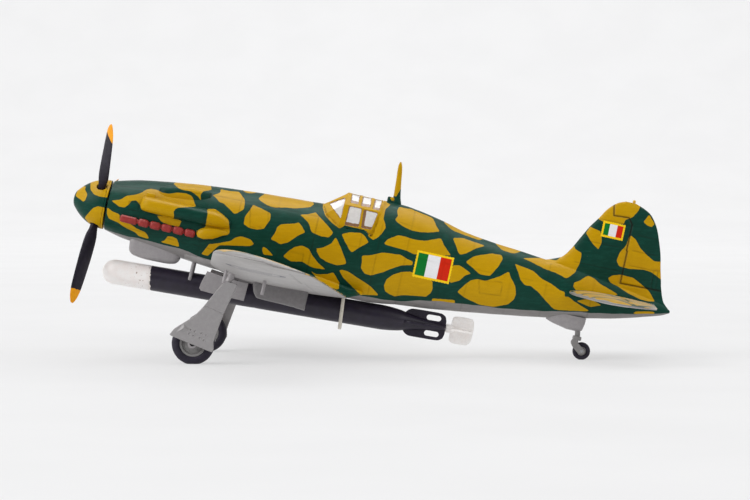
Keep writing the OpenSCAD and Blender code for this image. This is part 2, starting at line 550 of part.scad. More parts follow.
// Long rods behind, which pass each side of the torpedo
module torpedo_rods() {
  color(white) place() difference() {
    for (s = [-1, 1]) bar([61.2, s*3.5, -8], [61.8, s*3.2, -15.4], 0.38);
    underside(53, 73);
  }
}
module torpedo_warhead() {
  color(white) place() torp() rotate([0, 90, 0]) rotate_extrude($fn = 64)
    polygon(concat([[0, 0]], [for (a = [10:10:90]) [torp_r*sin(a), 2.9*(1 - cos(a))]], [[torp_r, 10.38], [0, 10.38]]));
}
module torpedo_body() {
  color(black) place() torp() rotate([0, 90, 0]) rotate_extrude($fn = 64)
    polygon([[0, 10.4], [torp_r, 10.4], [torp_r, 60.6], [2.55, 62.6], [2.3, 64.6], [1.92, 66.4], [1.5, 68.5], [1.15, 70.5], [0.9, 72.5], [0.62, 75.4], [0, 75.6]]);
}
// One fin with its rounded window, standing out from the body
module tfin() {
  rotate([90, 0, 0]) translate([0, 0, -0.25]) linear_extrude(height = 0.5) difference() {
    polygon([[65.6, 1.7], [66.3, 2.5], [67.2, 3.0], [73.6, 3.0], [74.6, 2.4], [74.9, 1.4], [74.9, 0], [70, 0], [66, 1]]);
    translate([71.1, 1.72]) circle(r = 0.58, $fn = 24);
    translate([73.1, 1.72]) circle(r = 0.58, $fn = 24);
    translate([71.1, 1.14]) square([2.0, 1.16]);
  }
}
module torpedo_fins() {
  color(black) place() torp() difference() {
    for (k = [0:3]) rotate([90*k, 0, 0]) tfin();
    rotate([0, 90, 0]) rotate_extrude($fn = 64)
      polygon([[0, 60.6], [torp_r + 0.01, 60.6], [2.56, 62.6], [2.31, 64.6], [1.93, 66.4], [1.51, 68.5], [1.16, 70.5], [0.91, 72.5], [0.63, 75.42], [0, 75.62]]);
  }
}
module torpedo_air_tail() {
  color(white) place() torp() difference() {
    union() {
      plate([[75.9, -2.2], [76.2, -2.75], [79.9, -3.0], [80.8, -1.9], [81.0, 1.9], [80.4, 2.9], [76.9, 2.8], [75.9, 2.0]], -0.3, 0.3);
      translate([76.0, -3.1, -0.28]) cube([4.6, 6.2, 0.56]);
      rotate([0, 90, 0]) translate([0, 0, 74.4]) cylinder(r = 0.95, h = 2.4, $fn = 32);
    }
    rotate([0, 90, 0]) rotate_extrude($fn = 64) polygon([[0, 72], [0.95, 72], [0.91, 72.5], [0.63, 75.42], [0, 75.62]]);
    for (k = [0:3]) rotate([90*k, 0, 0]) translate([72, -0.27, 0]) cube([2.95, 0.54, 3]);
  }
}

// ---------------------------------------------------------------- tail wheel
module tailwheel_fairing() {
  color(grey) place() difference() {
    loft([for (q = [[104.8, -3.9, 0.35], [106, -4.35, 1.2], [108, -4.8, 1.6], [110, -5.15, 1.6], [111.6, -5.15, 1.5], [112.8, -4.85, 1.2], [113.2, -3.2, 0.7]])
      [for (i = [0:8]) let(a = 180 + 22.5*i) [q[0], q[2]*(abs(cos(a)) < 0.01 ? 0 : sign(cos(a))*pow(abs(cos(a)), 0.8)),
        -2.0 + (q[1] + 2.0)*pow(abs(sin(a)), 0.6)]]], true);
    fus_near(96, 120);
    bar([112.1, 0, -5.6], [111.9, 0, -4.2], 0.62);
  }
}
module tailwheel_fork() {
  color(grey) place() difference() {
    union() {
      bar([111.92, 0, -4.25], [112.25, 0, -6.3], 0.6);
      lump([111.3, -1.25, -7.0], [113.1, 1.25, -6.1], 0.2);
      for (s = [-1, 1]) plate([[111.4, -6.9], [111.1, -7.7], [111.7, -8.6], [112.7, -9.5], [113.5, -9.85], [114.3, -9.5], [114.4, -8.8], [113.7, -8.3], [112.6, -7.6], [112.5, -6.9]],
        s > 0 ? 0.75 : -1.25, s > 0 ? 1.25 : -0.75);
    }
    across(TAIL, -2, 2, 0.35, 32);
  }
}
module tailwheel_axle() { color("silver") place() across(TAIL, -1.25, 1.25, 0.35, 32); }
module tailwheel_hub() {
  color(grey) place() translate([TAIL[0], 0, TAIL[1]]) rotate([90, 0, 0]) rotate_extrude($fn = 48)
    polygon([[0.35 + axle_gap, -0.58], [0.7, -0.58], [0.75, -0.4], [1.0, -0.45], [1.0, 0.45], [0.75, 0.4], [0.7, 0.58], [0.35 + axle_gap, 0.58]]);
}
module tailwheel_tyre() {
  R = tailwheel_r;
  color(black) difference() {
    place() translate([TAIL[0], 0, TAIL[1]]) rotate([90, 0, 0]) rotate_extrude($fn = 64)
      polygon([[1.0, -0.5], [1.15, -0.6], [R - 0.4, -0.6], [R - 0.15, -0.45], [R, -0.15], [R, 0.15], [R - 0.15, 0.45], [R - 0.4, 0.6], [1.15, 0.6], [1.0, 0.5]]);
    ground();
  }
}

fuselage_left();
fuselage_right();
wing_bottom();
wing_top_left();
wing_top_right();
tailplane_left();
tailplane_right();
fin_light();
nose_plate();
shaft_bearing();
spinner();
spinner_backplate();
propeller();
propeller_shaft();
shaft_collar();
exhaust_left();
exhaust_right();
supercharger_intake();
gun_fairings();
oil_cooler();
oil_cooler_core();
canopy();
cockpit_floor();
rear_bulkhead();
seat();
instrument_panel();
control_stick();
antenna_mast();
radiator_left();
radiator_right();
inner_door_left();
inner_door_right();
wing_pins();
gear_leg_left();
gear_leg_right();
gear_cover_left();
gear_cover_right();
main_axle_left();
main_axle_right();
wheel_hub_left();
wheel_hub_right();
tyre_left();
tyre_right();
torpedo_rack();
torpedo_braces();
torpedo_rods();
torpedo_warhead();
torpedo_body();
torpedo_fins();
torpedo_air_tail();
tailwheel_fairing();
tailwheel_fork();
tailwheel_axle();
tailwheel_hub();
tailwheel_tyre();
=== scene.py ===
# Scale model of a propeller fighter with a torpedo: visual pieces, materials and studio.
# Pieces are drawn in the craft frame in millimetres (x aft from the spinner tip, y to the
# right wing, z up square to the thrust line) and turned into the row frame in metres.
import math

import bmesh
import bpy
import numpy as np
from mathutils import Matrix, Vector


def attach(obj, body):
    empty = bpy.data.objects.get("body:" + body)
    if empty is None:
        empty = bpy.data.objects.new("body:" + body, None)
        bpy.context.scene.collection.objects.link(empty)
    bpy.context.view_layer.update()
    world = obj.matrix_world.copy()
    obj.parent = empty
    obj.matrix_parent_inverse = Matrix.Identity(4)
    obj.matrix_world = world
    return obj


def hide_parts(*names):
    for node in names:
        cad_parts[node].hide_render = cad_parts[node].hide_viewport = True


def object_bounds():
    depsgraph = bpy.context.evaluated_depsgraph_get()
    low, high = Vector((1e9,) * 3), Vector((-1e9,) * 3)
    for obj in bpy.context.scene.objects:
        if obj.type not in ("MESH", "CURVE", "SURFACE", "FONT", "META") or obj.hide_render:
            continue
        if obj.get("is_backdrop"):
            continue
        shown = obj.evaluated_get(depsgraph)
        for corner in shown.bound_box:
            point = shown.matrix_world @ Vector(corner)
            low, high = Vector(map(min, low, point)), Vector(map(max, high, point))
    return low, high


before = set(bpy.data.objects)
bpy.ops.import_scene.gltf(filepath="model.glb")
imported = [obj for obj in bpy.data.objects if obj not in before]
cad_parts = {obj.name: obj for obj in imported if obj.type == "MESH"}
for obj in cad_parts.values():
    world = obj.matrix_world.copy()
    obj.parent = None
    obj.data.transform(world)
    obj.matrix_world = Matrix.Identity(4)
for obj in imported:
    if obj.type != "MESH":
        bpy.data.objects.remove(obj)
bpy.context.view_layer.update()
rng = np.random.default_rng(11)

# ------------------------------------------------------------------ frames
STANCE = math.radians(11.9)
CS, SN = math.cos(STANCE), math.sin(STANCE)
SHIFT = -(130.5 * CS + 3.1 * SN) / 2
NOSE_H = 34.2


def row(p):
    p = np.asarray(p, float)
    x, y, z = p[..., 0], p[..., 1], p[..., 2]
    return np.stack([SHIFT + x * CS + z * SN, y, NOSE_H - x * SN + z * CS], -1) * 0.001


def craft(d, h):
    return d * CS - (h - NOSE_H) * SN, d * SN + (h - NOSE_H) * CS


TB = math.radians(-2.6)


def torp(p):
    """Torpedo frame (along, across, up) to the craft frame."""
    p = np.asarray(p, float)
    s, y, t = p[..., 0], p[..., 1], p[..., 2]
    return np.stack([9.25 + s * math.cos(TB) + t * math.sin(TB), y,
                     -13.86 - s * math.sin(TB) + t * math.cos(TB)], -1)


def interp(X, Y, q):
    """Smooth curve through the points that never overshoots."""
    X, Y, q = np.asarray(X, float), np.asarray(Y, float), np.asarray(q, float)
    one = Y.ndim == 1
    if one:
        Y = Y[:, None]
    h = np.diff(X)[:, None]
    d = np.diff(Y, axis=0) / h
    m = np.zeros_like(Y)
    if len(X) > 2:
        ok = d[:-1] * d[1:] > 0
        w1, w2 = 2 * h[1:] + h[:-1], h[1:] + 2 * h[:-1]
        m[1:-1] = np.where(ok, (w1 + w2) / (w1 / np.where(ok, d[:-1], 1) + w2 / np.where(ok, d[1:], 1)), 0)
    m[0], m[-1] = d[0], d[-1]
    i = np.clip(np.searchsorted(X, q, "right") - 1, 0, len(X) - 2)
    t = ((q - X[i]) / h[i, 0])[..., None]
    t = np.clip(t, 0, 1)
    hh = h[i]
    out = ((2 * t**3 - 3 * t**2 + 1) * Y[i] + (t**3 - 2 * t**2 + t) * hh * m[i]
           + (-2 * t**3 + 3 * t**2) * Y[i + 1] + (t**3 - t**2) * hh * m[i + 1])
    return out[..., 0] if one else out


def smooth(e0, e1, v):
    t = np.clip((v - e0) / (e1 - e0), 0, 1)
    return t * t * (3 - 2 * t)


# ------------------------------------------------------------------ paint layout, side elevation
PATCHES = [
    [(0.4,0.5),(0.7,2.7),(2.2,2.9),(2.2,2.3),(3.1,1.4),(2.9,0),(2.5,-0.3),(1.7,0)],
    [(2.8,4.3),(3.5,2.6),(4.5,1.7),(6.2,1.5),(7.6,1.7),(8,3.5),(7.2,5.5)],
    [(3.4,-3.7),(4.4,-2.1),(5.1,-1.1),(6,-0.6),(7.5,-0.5),(7.5,-5.2),(6.6,-5.4),(4.8,-5.1)],
    [(8.5,1.2),(10.4,1.8),(11.5,2.9),(13.4,3.6),(14.5,4.3),(15.4,5.2),(16.2,5.5),(17.3,5.5),(18.8,5.2),(20.1,5.2),(22,5.9),(23.7,6.1),(25.2,5.8),(25.9,4.6),(26.5,3.8),(22.8,2.8),(22.2,2),(22.6,0.3),(15.4,0.6),(14.7,1.7),(13.7,2.4),(12.8,2.1),(12.4,1.2),(11.7,0.4),(10.5,0.3),(9.5,0.8)],
    [(8,-0.4),(9,-0.9),(10.9,-1.3),(11.2,-2.6),(13.6,-2.8),(14.9,-3.4),(17,-3.8),(17.9,-4.8),(17.8,-5.1),(15.8,-5),(14.8,-4.3),(12.7,-3.8),(10.7,-3),(8.8,-2.7),(8.2,-1.9)],
    [(18.7,0.2),(24.2,0.3),(23.9,-1.1),(21.6,-1.2),(20,-0.9)],
    [(21.9,-3.6),(23,-3.5),(24,-3.8),(24.8,-5.4),(20.5,-5.2),(21.4,-4.7)],
    [(20.4,7.5),(21.3,8.4),(23.2,8.9),(27.9,9.4),(28.8,8),(27.2,7.3),(26.8,6.4),(27.3,5.1),(26.4,6),(24.9,6.7),(22.4,6.7)],
    [(28.9,3.8),(30.6,4.2),(32.8,3.2),(34,2.4),(34.6,0.3),(34.7,-0.5),(32.5,-1.3),(32,-2),(28.6,-2.8),(27.5,-1.3),(29.4,0),(29.4,2.9)],
    [(29.3,6.9),(30.7,7.7),(30.6,8.5),(32.4,8.5),(34.5,8.8),(35.3,8.2),(36.3,7.3),(36.5,5.4),(35.5,4.4),(34.7,4),(33.6,4.8),(32,5.7),(31.1,5.8),(30.2,6.5)],
    [(34.3,9.9),(35.6,9),(36.8,8.9),(38,9.3),(38.6,9.7),(38.5,10.6)],
    [(38.2,6.8),(39.9,6.4),(42.3,5.8),(42.5,4.5),(42,3.3),(41.6,2.3),(40.3,1.8),(38.5,1.8),(37.2,2.4),(37.1,3.9),(37.7,5.2),(38,6.1)],
    [(38.9,8.2),(40,9.6),(40.9,10.6),(47.4,10.7),(48.9,10.3),(50.4,10.1),(50.8,9.6),(50.1,8.8),(47.2,7.9),(45.4,7.7),(42.6,7.1),(40.8,7.4)],
    [(43.5,0.4),(44.2,2.2),(44.3,3.2),(44.9,4),(47.7,4.7),(48.5,5.2),(49.5,4.4),(50.3,3.4),(48.9,2.3),(47.3,0.6),(45.7,-0.2),(44.6,0.2)],
    [(48.4,6.8),(50.2,7.3),(51.6,8),(52.5,7.3),(54.3,6.1),(56.2,4.6),(55.5,3.4),(53.8,3.3),(51.7,3.7),(50.7,5.4),(49.3,6.4)],
    [(29.6,-5.9),(30.6,-4),(30.9,-3.4),(32.8,-2.8),(35.3,-1.7),(36,-0.9),(37.2,-0.3),(39.3,-0.5),(40.3,-1.4),(39.3,-2),(33.2,-3.1),(32.5,-3.9),(31.1,-5.9)],
    [(42.2,-1.4),(43.3,-1.8),(44.8,-2.9),(42.7,-3.1),(42.2,-2.3)],
    [(46.8,-2.6),(47.8,-1.1),(49,-0),(50.2,0.5),(51.8,0.2),(52.9,-1.1),(54.6,-2.5),(56.3,-3.4),(54,-3.6),(52.6,-3.4),(51.1,-2.8),(48.7,-3.3)],
    [(53.2,0.5),(54.7,1),(56.3,2.3),(56.9,3.8),(58.1,2.3),(59.3,0.5),(60.4,-1.3),(58.5,-2),(56.3,-1.8),(54.6,-1.2),(53.7,-0.2)],
    [(59.1,-3),(59.7,-2.7),(61,-2.8),(63.5,-3.8),(66.2,-4.8),(68.6,-6.5),(64.7,-7.1),(63,-6.1),(60.4,-4.4)],
    [(53.2,-4.4),(54.5,-4.8),(56.8,-4.3),(58,-3.6),(59.1,-4.9),(59.7,-5.5),(59.9,-7),(56.1,-6.5)],
    [(58,4.7),(59.6,5.4),(61.9,5.8),(62.9,5.3),(64,4.2),(62.1,2.5),(60.9,1.3),(60.1,2),(58.7,3.7)],
    [(64.9,13.5),(66.9,13),(65.9,11.8),(65.6,10.3),(66.5,9),(66.9,8),(66.2,6.3),(64.7,5),(64.1,5.6),(64.4,7.5),(65.1,10.6)],
    [(68.8,12.9),(71.5,13),(76.4,12.1),(77.4,10.6),(78.4,9.6),(76.4,9),(74.2,8.6),(72.2,8.6),(70.6,9),(69.1,9.6),(68.5,10.1),(68.9,11),(68.5,12.1)],
    [(78.8,11.7),(80.8,10.5),(84.3,9.9),(87.1,9.6),(88.7,10.5),(84.6,11.8),(80,13)],
    [(67.2,4.5),(67.8,5.7),(69.9,7),(71.4,7),(73.3,6.8),(75.7,7),(78.9,8.3),(79.7,7.1),(80.8,6),(81.8,5.1),(74.2,3.7),(72,4.2),(69.8,4.3)],
    [(81.4,8.9),(83.5,9.3),(88.6,8.7),(86.8,7.8),(84.8,6.2),(83.6,5.7),(83,6.3),(82.7,6.9)],
    [(63.2,1.1),(65,1.6),(67.4,2.7),(69.6,2.9),(71.2,3),(72.9,2.4),(74.1,2.2),(74.1,1.4),(71.9,0.9),(69.9,-0.3),(68.3,-1.4),(65.9,-2.6),(64.5,-2.5),(63.5,-1.5),(63.5,-0.3)],
    [(69.6,-5.3),(69.1,-4.1),(69.4,-2.7),(70.6,-1.4),(72.2,-0.5),(74.1,0),(79,-0.9),(79.4,-2.5),(79.2,-3.7),(78.4,-4.6),(75.4,-5),(73.2,-5.4),(71.8,-6),(70.6,-5.7)],
    [(82.5,3.2),(84.1,3.5),(86.8,2.3),(85.6,1.6),(84.6,0.2),(82.6,-0.7)],
    [(79.8,-4.7),(84.6,-4),(84.8,-4.7),(79.9,-5.4)],
    [(85.1,4.5),(86.7,6.1),(90.3,7.4),(92.4,7.5),(92.8,6.8),(92.3,5.3),(91.5,3.7),(90.8,2.6),(88.7,2.5),(86.7,3.6)],
    [(84.7,-2.2),(85.7,-0.7),(86.9,0.8),(88.3,1.4),(90.1,1.4),(92.8,2.9),(94.6,4.4),(95.3,3.2),(96.6,1.6),(97.1,0),(97,-1.1),(96,-2.5),(93.2,-3.7),(90.1,-3.9),(86.6,-3.1)],
    [(95.5,6.3),(97.5,6),(99.8,5.6),(101.8,4.4),(104.5,3.6),(106.1,2.8),(107.3,2.6),(107.5,1.7),(108.3,1.8),(110.2,0.9),(113.6,-0.3),(106,-1.6),(103.9,-0.2),(101.6,1.5),(100,2.3),(98.6,2.3),(97.4,3.2),(96.5,4.9)],
    [(96.9,7.8),(101,8.7),(104.4,8.8),(106.5,12.1),(107.4,12.7),(107.7,12.1),(109.2,11.6),(109.3,9.6),(108.7,7.2),(107.1,5.5),(104.8,6.2),(101.9,6.6),(99,7.4)],
    [(89.2,10.6),(92.2,8.6),(94.8,8.3),(96.4,9.1),(96.2,10.3)],
    [(110.1,1.3),(113.4,0.6),(115.7,1.5),(112.9,2.4)],
    [(122.7,1.2),(123.3,1.8),(127,2.5),(127.4,2.2),(125.4,1.3)],
    [(109.9,17.5),(110.9,17.2),(112.1,17),(112.7,15.8),(112.9,14.5),(112.5,13.1),(111.4,13.8),(110.4,14.7),(109.2,16)],
    [(111.1,19.5),(112.9,22.7),(113.7,23.5),(115.7,24.9),(119.6,24.5),(119.1,22.7),(118.3,21.4),(116.9,20.5),(116.7,19.5),(112.4,19.1)],
    [(121.7,22.7),(123.3,21),(122.8,20.2),(121.8,20.3),(120.8,20.9)],
    [(118.8,17.5),(120,16.8),(121.3,15.3),(123,14.1),(125,13.1),(126.6,13.4),(127.4,9.5),(126,10.2),(124.7,10.7),(123.1,10.9),(119.9,10.4),(117.7,10.5),(116.9,11.6),(117.1,13.2),(118.2,15.2),(118.4,16.9)],
    [(115.9,7.5),(116.8,8.3),(118.5,8.8),(121.2,8.7),(123.6,7.5),(125.3,6.5),(126.9,4.7),(125.3,4.4),(123.5,4.5),(120.6,5.3),(118.4,6.2),(116.7,6.6)],
    [(108.8,4.1),(108.9,5),(110,5.7),(111.5,7.1),(113,6.8),(114.5,5.9),(117.1,5.1),(118.8,4.5),(115.2,2.8),(110.8,2.7)],
]
SPINNER_PATCHES = PATCHES[:3]
BODY_PATCHES = PATCHES[3:] + [
    [(52.5, 10.8), (52.8, 9.4), (53.6, 7.9), (55.2, 6.7), (57.2, 5.75), (58.2, 6.5), (58.3, 14), (54, 14)],
    [(63.4, 5.6), (64.8, 4.8), (66, 6), (66, 13.8), (63.8, 13.8)],
]


def rounded(poly, k=0.1, times=2):
    P = np.array(poly, float)
    for _ in range(times):
        Q = np.roll(P, -1, 0)
        P = np.stack([P + (Q - P) * k, P + (Q - P) * (1 - k)], 1).reshape(-1, 2)
    return P


def poly_distance(u, v, P):
    """Distance to a closed outline, positive inside."""
    Q = np.roll(P, -1, 0)
    best = np.full(u.shape, 1e9)
    inside = np.zeros(u.shape, bool)
    for (ax, ay), (bx, by) in zip(P, Q):
        ex, ey = bx - ax, by - ay
        L = ex * ex + ey * ey + 1e-12
        t = np.clip(((u - ax) * ex + (v - ay) * ey) / L, 0, 1)
        best = np.minimum(best, (u - ax - t * ex) ** 2 + (v - ay - t * ey) ** 2)
        cross = ((ay > v) != (by > v)) & (u < (bx - ax) * (v - ay) / (by - ay + 1e-12) + ax)
        inside ^= cross
    d = np.sqrt(best)
    return np.where(inside, d, -d)


def patches_distance(u, v, patches):
    out = np.full(u.shape, -4.0)
    for poly in patches:
        P = rounded(poly)
        lo, hi = P.min(0) - 4, P.max(0) + 4
        m = (u > lo[0]) & (u < hi[0]) & (v > lo[1]) & (v < hi[1])
        if m.any():
            out[m] = np.maximum(out[m], poly_distance(u[m], v[m], P))
    return out


def cells_distance(u, v, seeds, gap):
    """Blotches with bands of ground colour between them."""
    S = np.asarray(seeds, float)
    d = (u[..., None] - S[:, 0]) ** 2 + (v[..., None] - S[:, 1]) ** 2
    o = np.argsort(d, -1)[..., :3]
    d1 = np.take_along_axis(d, o[..., :1], -1)[..., 0]
    out = np.full(u.shape, 1e9)
    for k in (1, 2):
        dk = np.take_along_axis(d, o[..., k:k + 1], -1)[..., 0]
        sep = np.linalg.norm(S[o[..., k]] - S[o[..., 0]], axis=-1)
        out = np.minimum(out, (dk - d1) / (2 * sep + 1e-6))
    return out - gap


def jittered(u0, u1, v0, v1, step, seed, amount=0.36):
    r = np.random.default_rng(seed)
    pts = []
    for j, v in enumerate(np.arange(v0, v1 + step, step * 0.87)):
        for u in np.arange(u0 + (j % 2) * step / 2, u1 + step, step):
            pts.append((u + r.uniform(-amount, amount) * step, v + r.uniform(-amount, amount) * step))
    return np.array(pts)


SPLIT = np.array([(7, -5.2), (7.7, -5.25), (11.3, -5.45), (13.5, -5.65), (15.7, -5.4), (20.1, -5.65), (24.6, -5.7),
                  (26.8, -5.95), (29.1, -6.45), (31.4, -6.7), (40, -7.1), (56, -7.3), (63.5, -7.35), (68.9, -7.2),
                  (73.3, -6.8), (77.4, -5.65), (81.7, -4.95), (86, -4.55), (90.3, -4.05), (94.6, -3.7), (98.9, -3.1),
                  (103.2, -2.45), (107.4, -1.65), (111.6, -0.85), (113.8, -0.6), (120.2, 0.55), (124.4, 1.45),
                  (128.6, 2.4), (131, 3.05)])
RIGHT_SEEDS = jittered(0, 134, -12, 28, 8.6, 5)


def body_fields(P):
    x, y, z = P[:, 0], P[:, 1], P[:, 2]
    left = patches_distance(x, z, BODY_PATCHES)
    right = cells_distance(x, z, RIGHT_SEEDS, 0.85)
    k = smooth(0.4, 2.6, y)
    keep = smooth(58.0, 54.0, x) + smooth(64.0, 66.5, x)
    k = k * np.clip(keep + smooth(6.0, 3.5, z), 0, 1)
    wob = 0.03 * np.sin(x * 1.1 + 1.3 * z)
    grey = np.interp(x, SPLIT[:, 0], SPLIT[:, 1]) - z + wob
    fin = (z > np.interp(x, FUS[:, 0], FUS[:, 1]) - 0.4) & (x > 103)
    # groove: strength of the painted shade in the engraved lines, strongest in the rudder hinge and trim tab
    groove = np.where(fin, 0.0, carve(x, z, LINES) / 0.05 * 0.32)
    for line, _, dep in FIN_LINES:
        g = carve(x, z, [(line, 0.17 if dep > 0.15 else 0.12, 1.0 if dep > 0.15 else 0.35)])
        groove = np.where(fin, np.maximum(groove, g), groove)
    return {"ochre": left * (1 - k) + right * k, "grey": grey, "groove": np.clip(groove, 0, 1)}


# ------------------------------------------------------------------ mesh helpers
class Parts:
    def __init__(self):
        self.v, self.f, self.m, self.n = [], [], [], 0

    def add(self, V, F, mat=0, to=None):
        V = np.asarray(V, float).reshape(-1, 3)
        if to is not None:
            V = to(V)
        self.v.append(V)
        self.f += [tuple(int(i) + self.n for i in f) for f in F]
        self.m += [mat] * len(F)
        self.n += len(V)
        return self


def grid(V, wrap_u=False, wrap_v=False, flip=False, keep=None):
    """Faces of a grid of points V[m, n]. keep(m, n centres) drops cells."""
    m, n = V.shape[:2]
    F = []
    for i in range(m if wrap_u else m - 1):
        i2 = (i + 1) % m
        for j in range(n if wrap_v else n - 1):
            if keep is not None and not keep[i, j]:
                continue
            j2 = (j + 1) % n
            f = (i * n + j, i * n + j2, i2 * n + j2, i2 * n + j)
            F.append(f[::-1] if flip else f)
    return V.reshape(-1, 3), F


def loft(R, caps=(True, True), flip=False):
    """Closed rings R[m, n, 3] with fanned ends."""
    R = np.asarray(R, float)
    m, n = R.shape[:2]
    V, F = grid(R, wrap_v=True, flip=flip)
    V = list(V)
    for end, base in ((0, 0), (1, (m - 1) * n)):
        if caps[end]:
            V.append(R[0 if end == 0 else -1].mean(0))
            c = len(V) - 1
            for j in range(n):
                f = (base + j, c, base + (j + 1) % n) if end == 0 else (base + (j + 1) % n, c, base + j)
                F.append(f[::-1] if flip else f)
    return np.array(V), F


def revolve(profile, n=96, flip=False):
    """Profile [(along, radius)] about the x axis of its own frame."""
    p = np.asarray(profile, float)
    a = np.linspace(0, 2 * np.pi, n, endpoint=False)
    R = np.stack([np.repeat(p[:, :1], n, 1), p[:, 1:2] * np.cos(a), p[:, 1:2] * np.sin(a)], -1)
    return grid(R, wrap_v=True, flip=flip)


def tube(pts, radii, n=28, caps=True, squash=1.0):
    P = np.asarray(pts, float)
    r = np.broadcast_to(np.asarray(radii, float), (len(P),))
    T = np.gradient(P, axis=0)
    T /= np.linalg.norm(T, axis=1)[:, None]
    ref = np.array([0, 1, 0.0]) if abs(T[0][1]) < 0.9 else np.array([1, 0, 0.0])
    rings = []
    a = np.linspace(0, 2 * np.pi, n, endpoint=False)
    for p, t, q in zip(P, T, r):
        u = np.cross(ref, t)
        u /= np.linalg.norm(u)
        w = np.cross(t, u)
        rings.append(p + q * (np.cos(a)[:, None] * u * squash + np.sin(a)[:, None] * w))
    return loft(rings, (caps, caps), flip=True)


def rod(a, b, r, n=28, bevel=0.08):
    """Round bar with softened ends."""
    a, b = np.array(a, float), np.array(b, float)
    L = np.linalg.norm(b - a)
    d = (b - a) / L
    t = [0, bevel * 0.3, bevel, L * 0.5, L - bevel, L - bevel * 0.3, L]
    q = [r - bevel, r - bevel * 0.3, r, r, r, r - bevel * 0.3, r - bevel]
    return tube([a + d * s for s in t], q, n)


def rbox(p, q, r, seg=3):
    """Box with rounded edges."""
    bm = bmesh.new()
    bmesh.ops.create_cube(bm, size=1.0)
    p, q = Vector(p), Vector(q)
    c, s = (p + q) / 2, q - p
    for v in bm.verts:
        v.co = Vector((v.co.x * s.x, v.co.y * s.y, v.co.z * s.z)) + c
    bmesh.ops.bevel(bm, geom=list(bm.edges), offset=r, segments=seg, profile=0.5, affect="EDGES")
    V = np.array([v.co[:] for v in bm.verts])
    F = [[v.index for v in f.verts] for f in bm.faces]
    bm.free()
    return V, F


def flat(outline, half, bevel=0.08, holes=(), seg=2):
    """Flat shape of an outline with holes and softened edges: (u, v, w)."""
    cu = bpy.data.curves.new("tmp", "CURVE")
    cu.dimensions = "2D"
    cu.fill_mode = "BOTH"
    for poly in [outline, *holes]:
        sp = cu.splines.new("POLY")
        sp.points.add(len(poly) - 1)
        for k, (u, v) in enumerate(poly):
            sp.points[k].co = (u, v, 0, 1)
        sp.use_cyclic_u = True
    cu.extrude = max(half - bevel, 0.001)
    cu.bevel_depth = bevel
    cu.bevel_resolution = seg
    cu.offset = -bevel
    ob = bpy.data.objects.new("tmp", cu)
    bpy.context.scene.collection.objects.link(ob)
    dg = bpy.context.evaluated_depsgraph_get()
    me = bpy.data.meshes.new_from_object(ob.evaluated_get(dg))
    V = np.array([v.co[:] for v in me.vertices])
    F = [list(p.vertices) for p in me.polygons]
    bpy.data.objects.remove(ob)
    bpy.data.curves.remove(cu)
    bpy.data.meshes.remove(me)
    return V, F


def circle(cx, cy, r, n=32, a0=0, a1=360):
    a = np.radians(np.linspace(a0, a1, n, endpoint=(a1 - a0) < 360))
    return [(cx + r * math.cos(t), cy + r * math.sin(t)) for t in a]


def xz(y):
    """Flat shape drawn in x, z, its middle plane at y."""
    return lambda V: np.stack([V[:, 0], y + V[:, 2], V[:, 1]], -1)


MATS = {}


def piece(name, parts, mats, body, nodes, fields=None, angle=32, extra=None, row_fn=None):
    V = np.vstack(parts.v)
    me = bpy.data.meshes.new(name)
    W = row(V)
    if row_fn is not None:
        W = row_fn(W)
    me.from_pydata(W.tolist(), [], parts.f)
    me.polygons.foreach_set("material_index", parts.m)
    for m in mats:
        me.materials.append(MATS[m])
    me.validate(verbose=False)
    at = me.attributes.new("craft", "FLOAT_VECTOR", "POINT")
    at.data.foreach_set("vector", V.astype(np.float32).ravel())
    vals = dict(fields(V)) if fields else {}
    if extra:
        vals.update(extra)
    for k, v in vals.items():
        a = me.attributes.new(k, "FLOAT", "POINT")
        a.data.foreach_set("value", np.asarray(v, np.float32))
    bm = bmesh.new()
    bm.from_mesh(me)
    bmesh.ops.recalc_face_normals(bm, faces=bm.faces) if body is not None and parts.n < 40000 and not getattr(parts, "open", False) else None
    bm.to_mesh(me)
    bm.free()
    me.shade_smooth()
    me.set_sharp_from_angle(angle=math.radians(angle))
    ob = bpy.data.objects.new(name, me)
    bpy.context.scene.collection.objects.link(ob)
    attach(ob, body)
    if nodes:
        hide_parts(*nodes)
    return ob


# ------------------------------------------------------------------ materials
def lin(r, g, b):
    f = lambda c: c / 12.92 if c <= 0.04045 else ((c + 0.055) / 1.055) ** 2.4
    return (f(r / 255), f(g / 255), f(b / 255), 1.0)


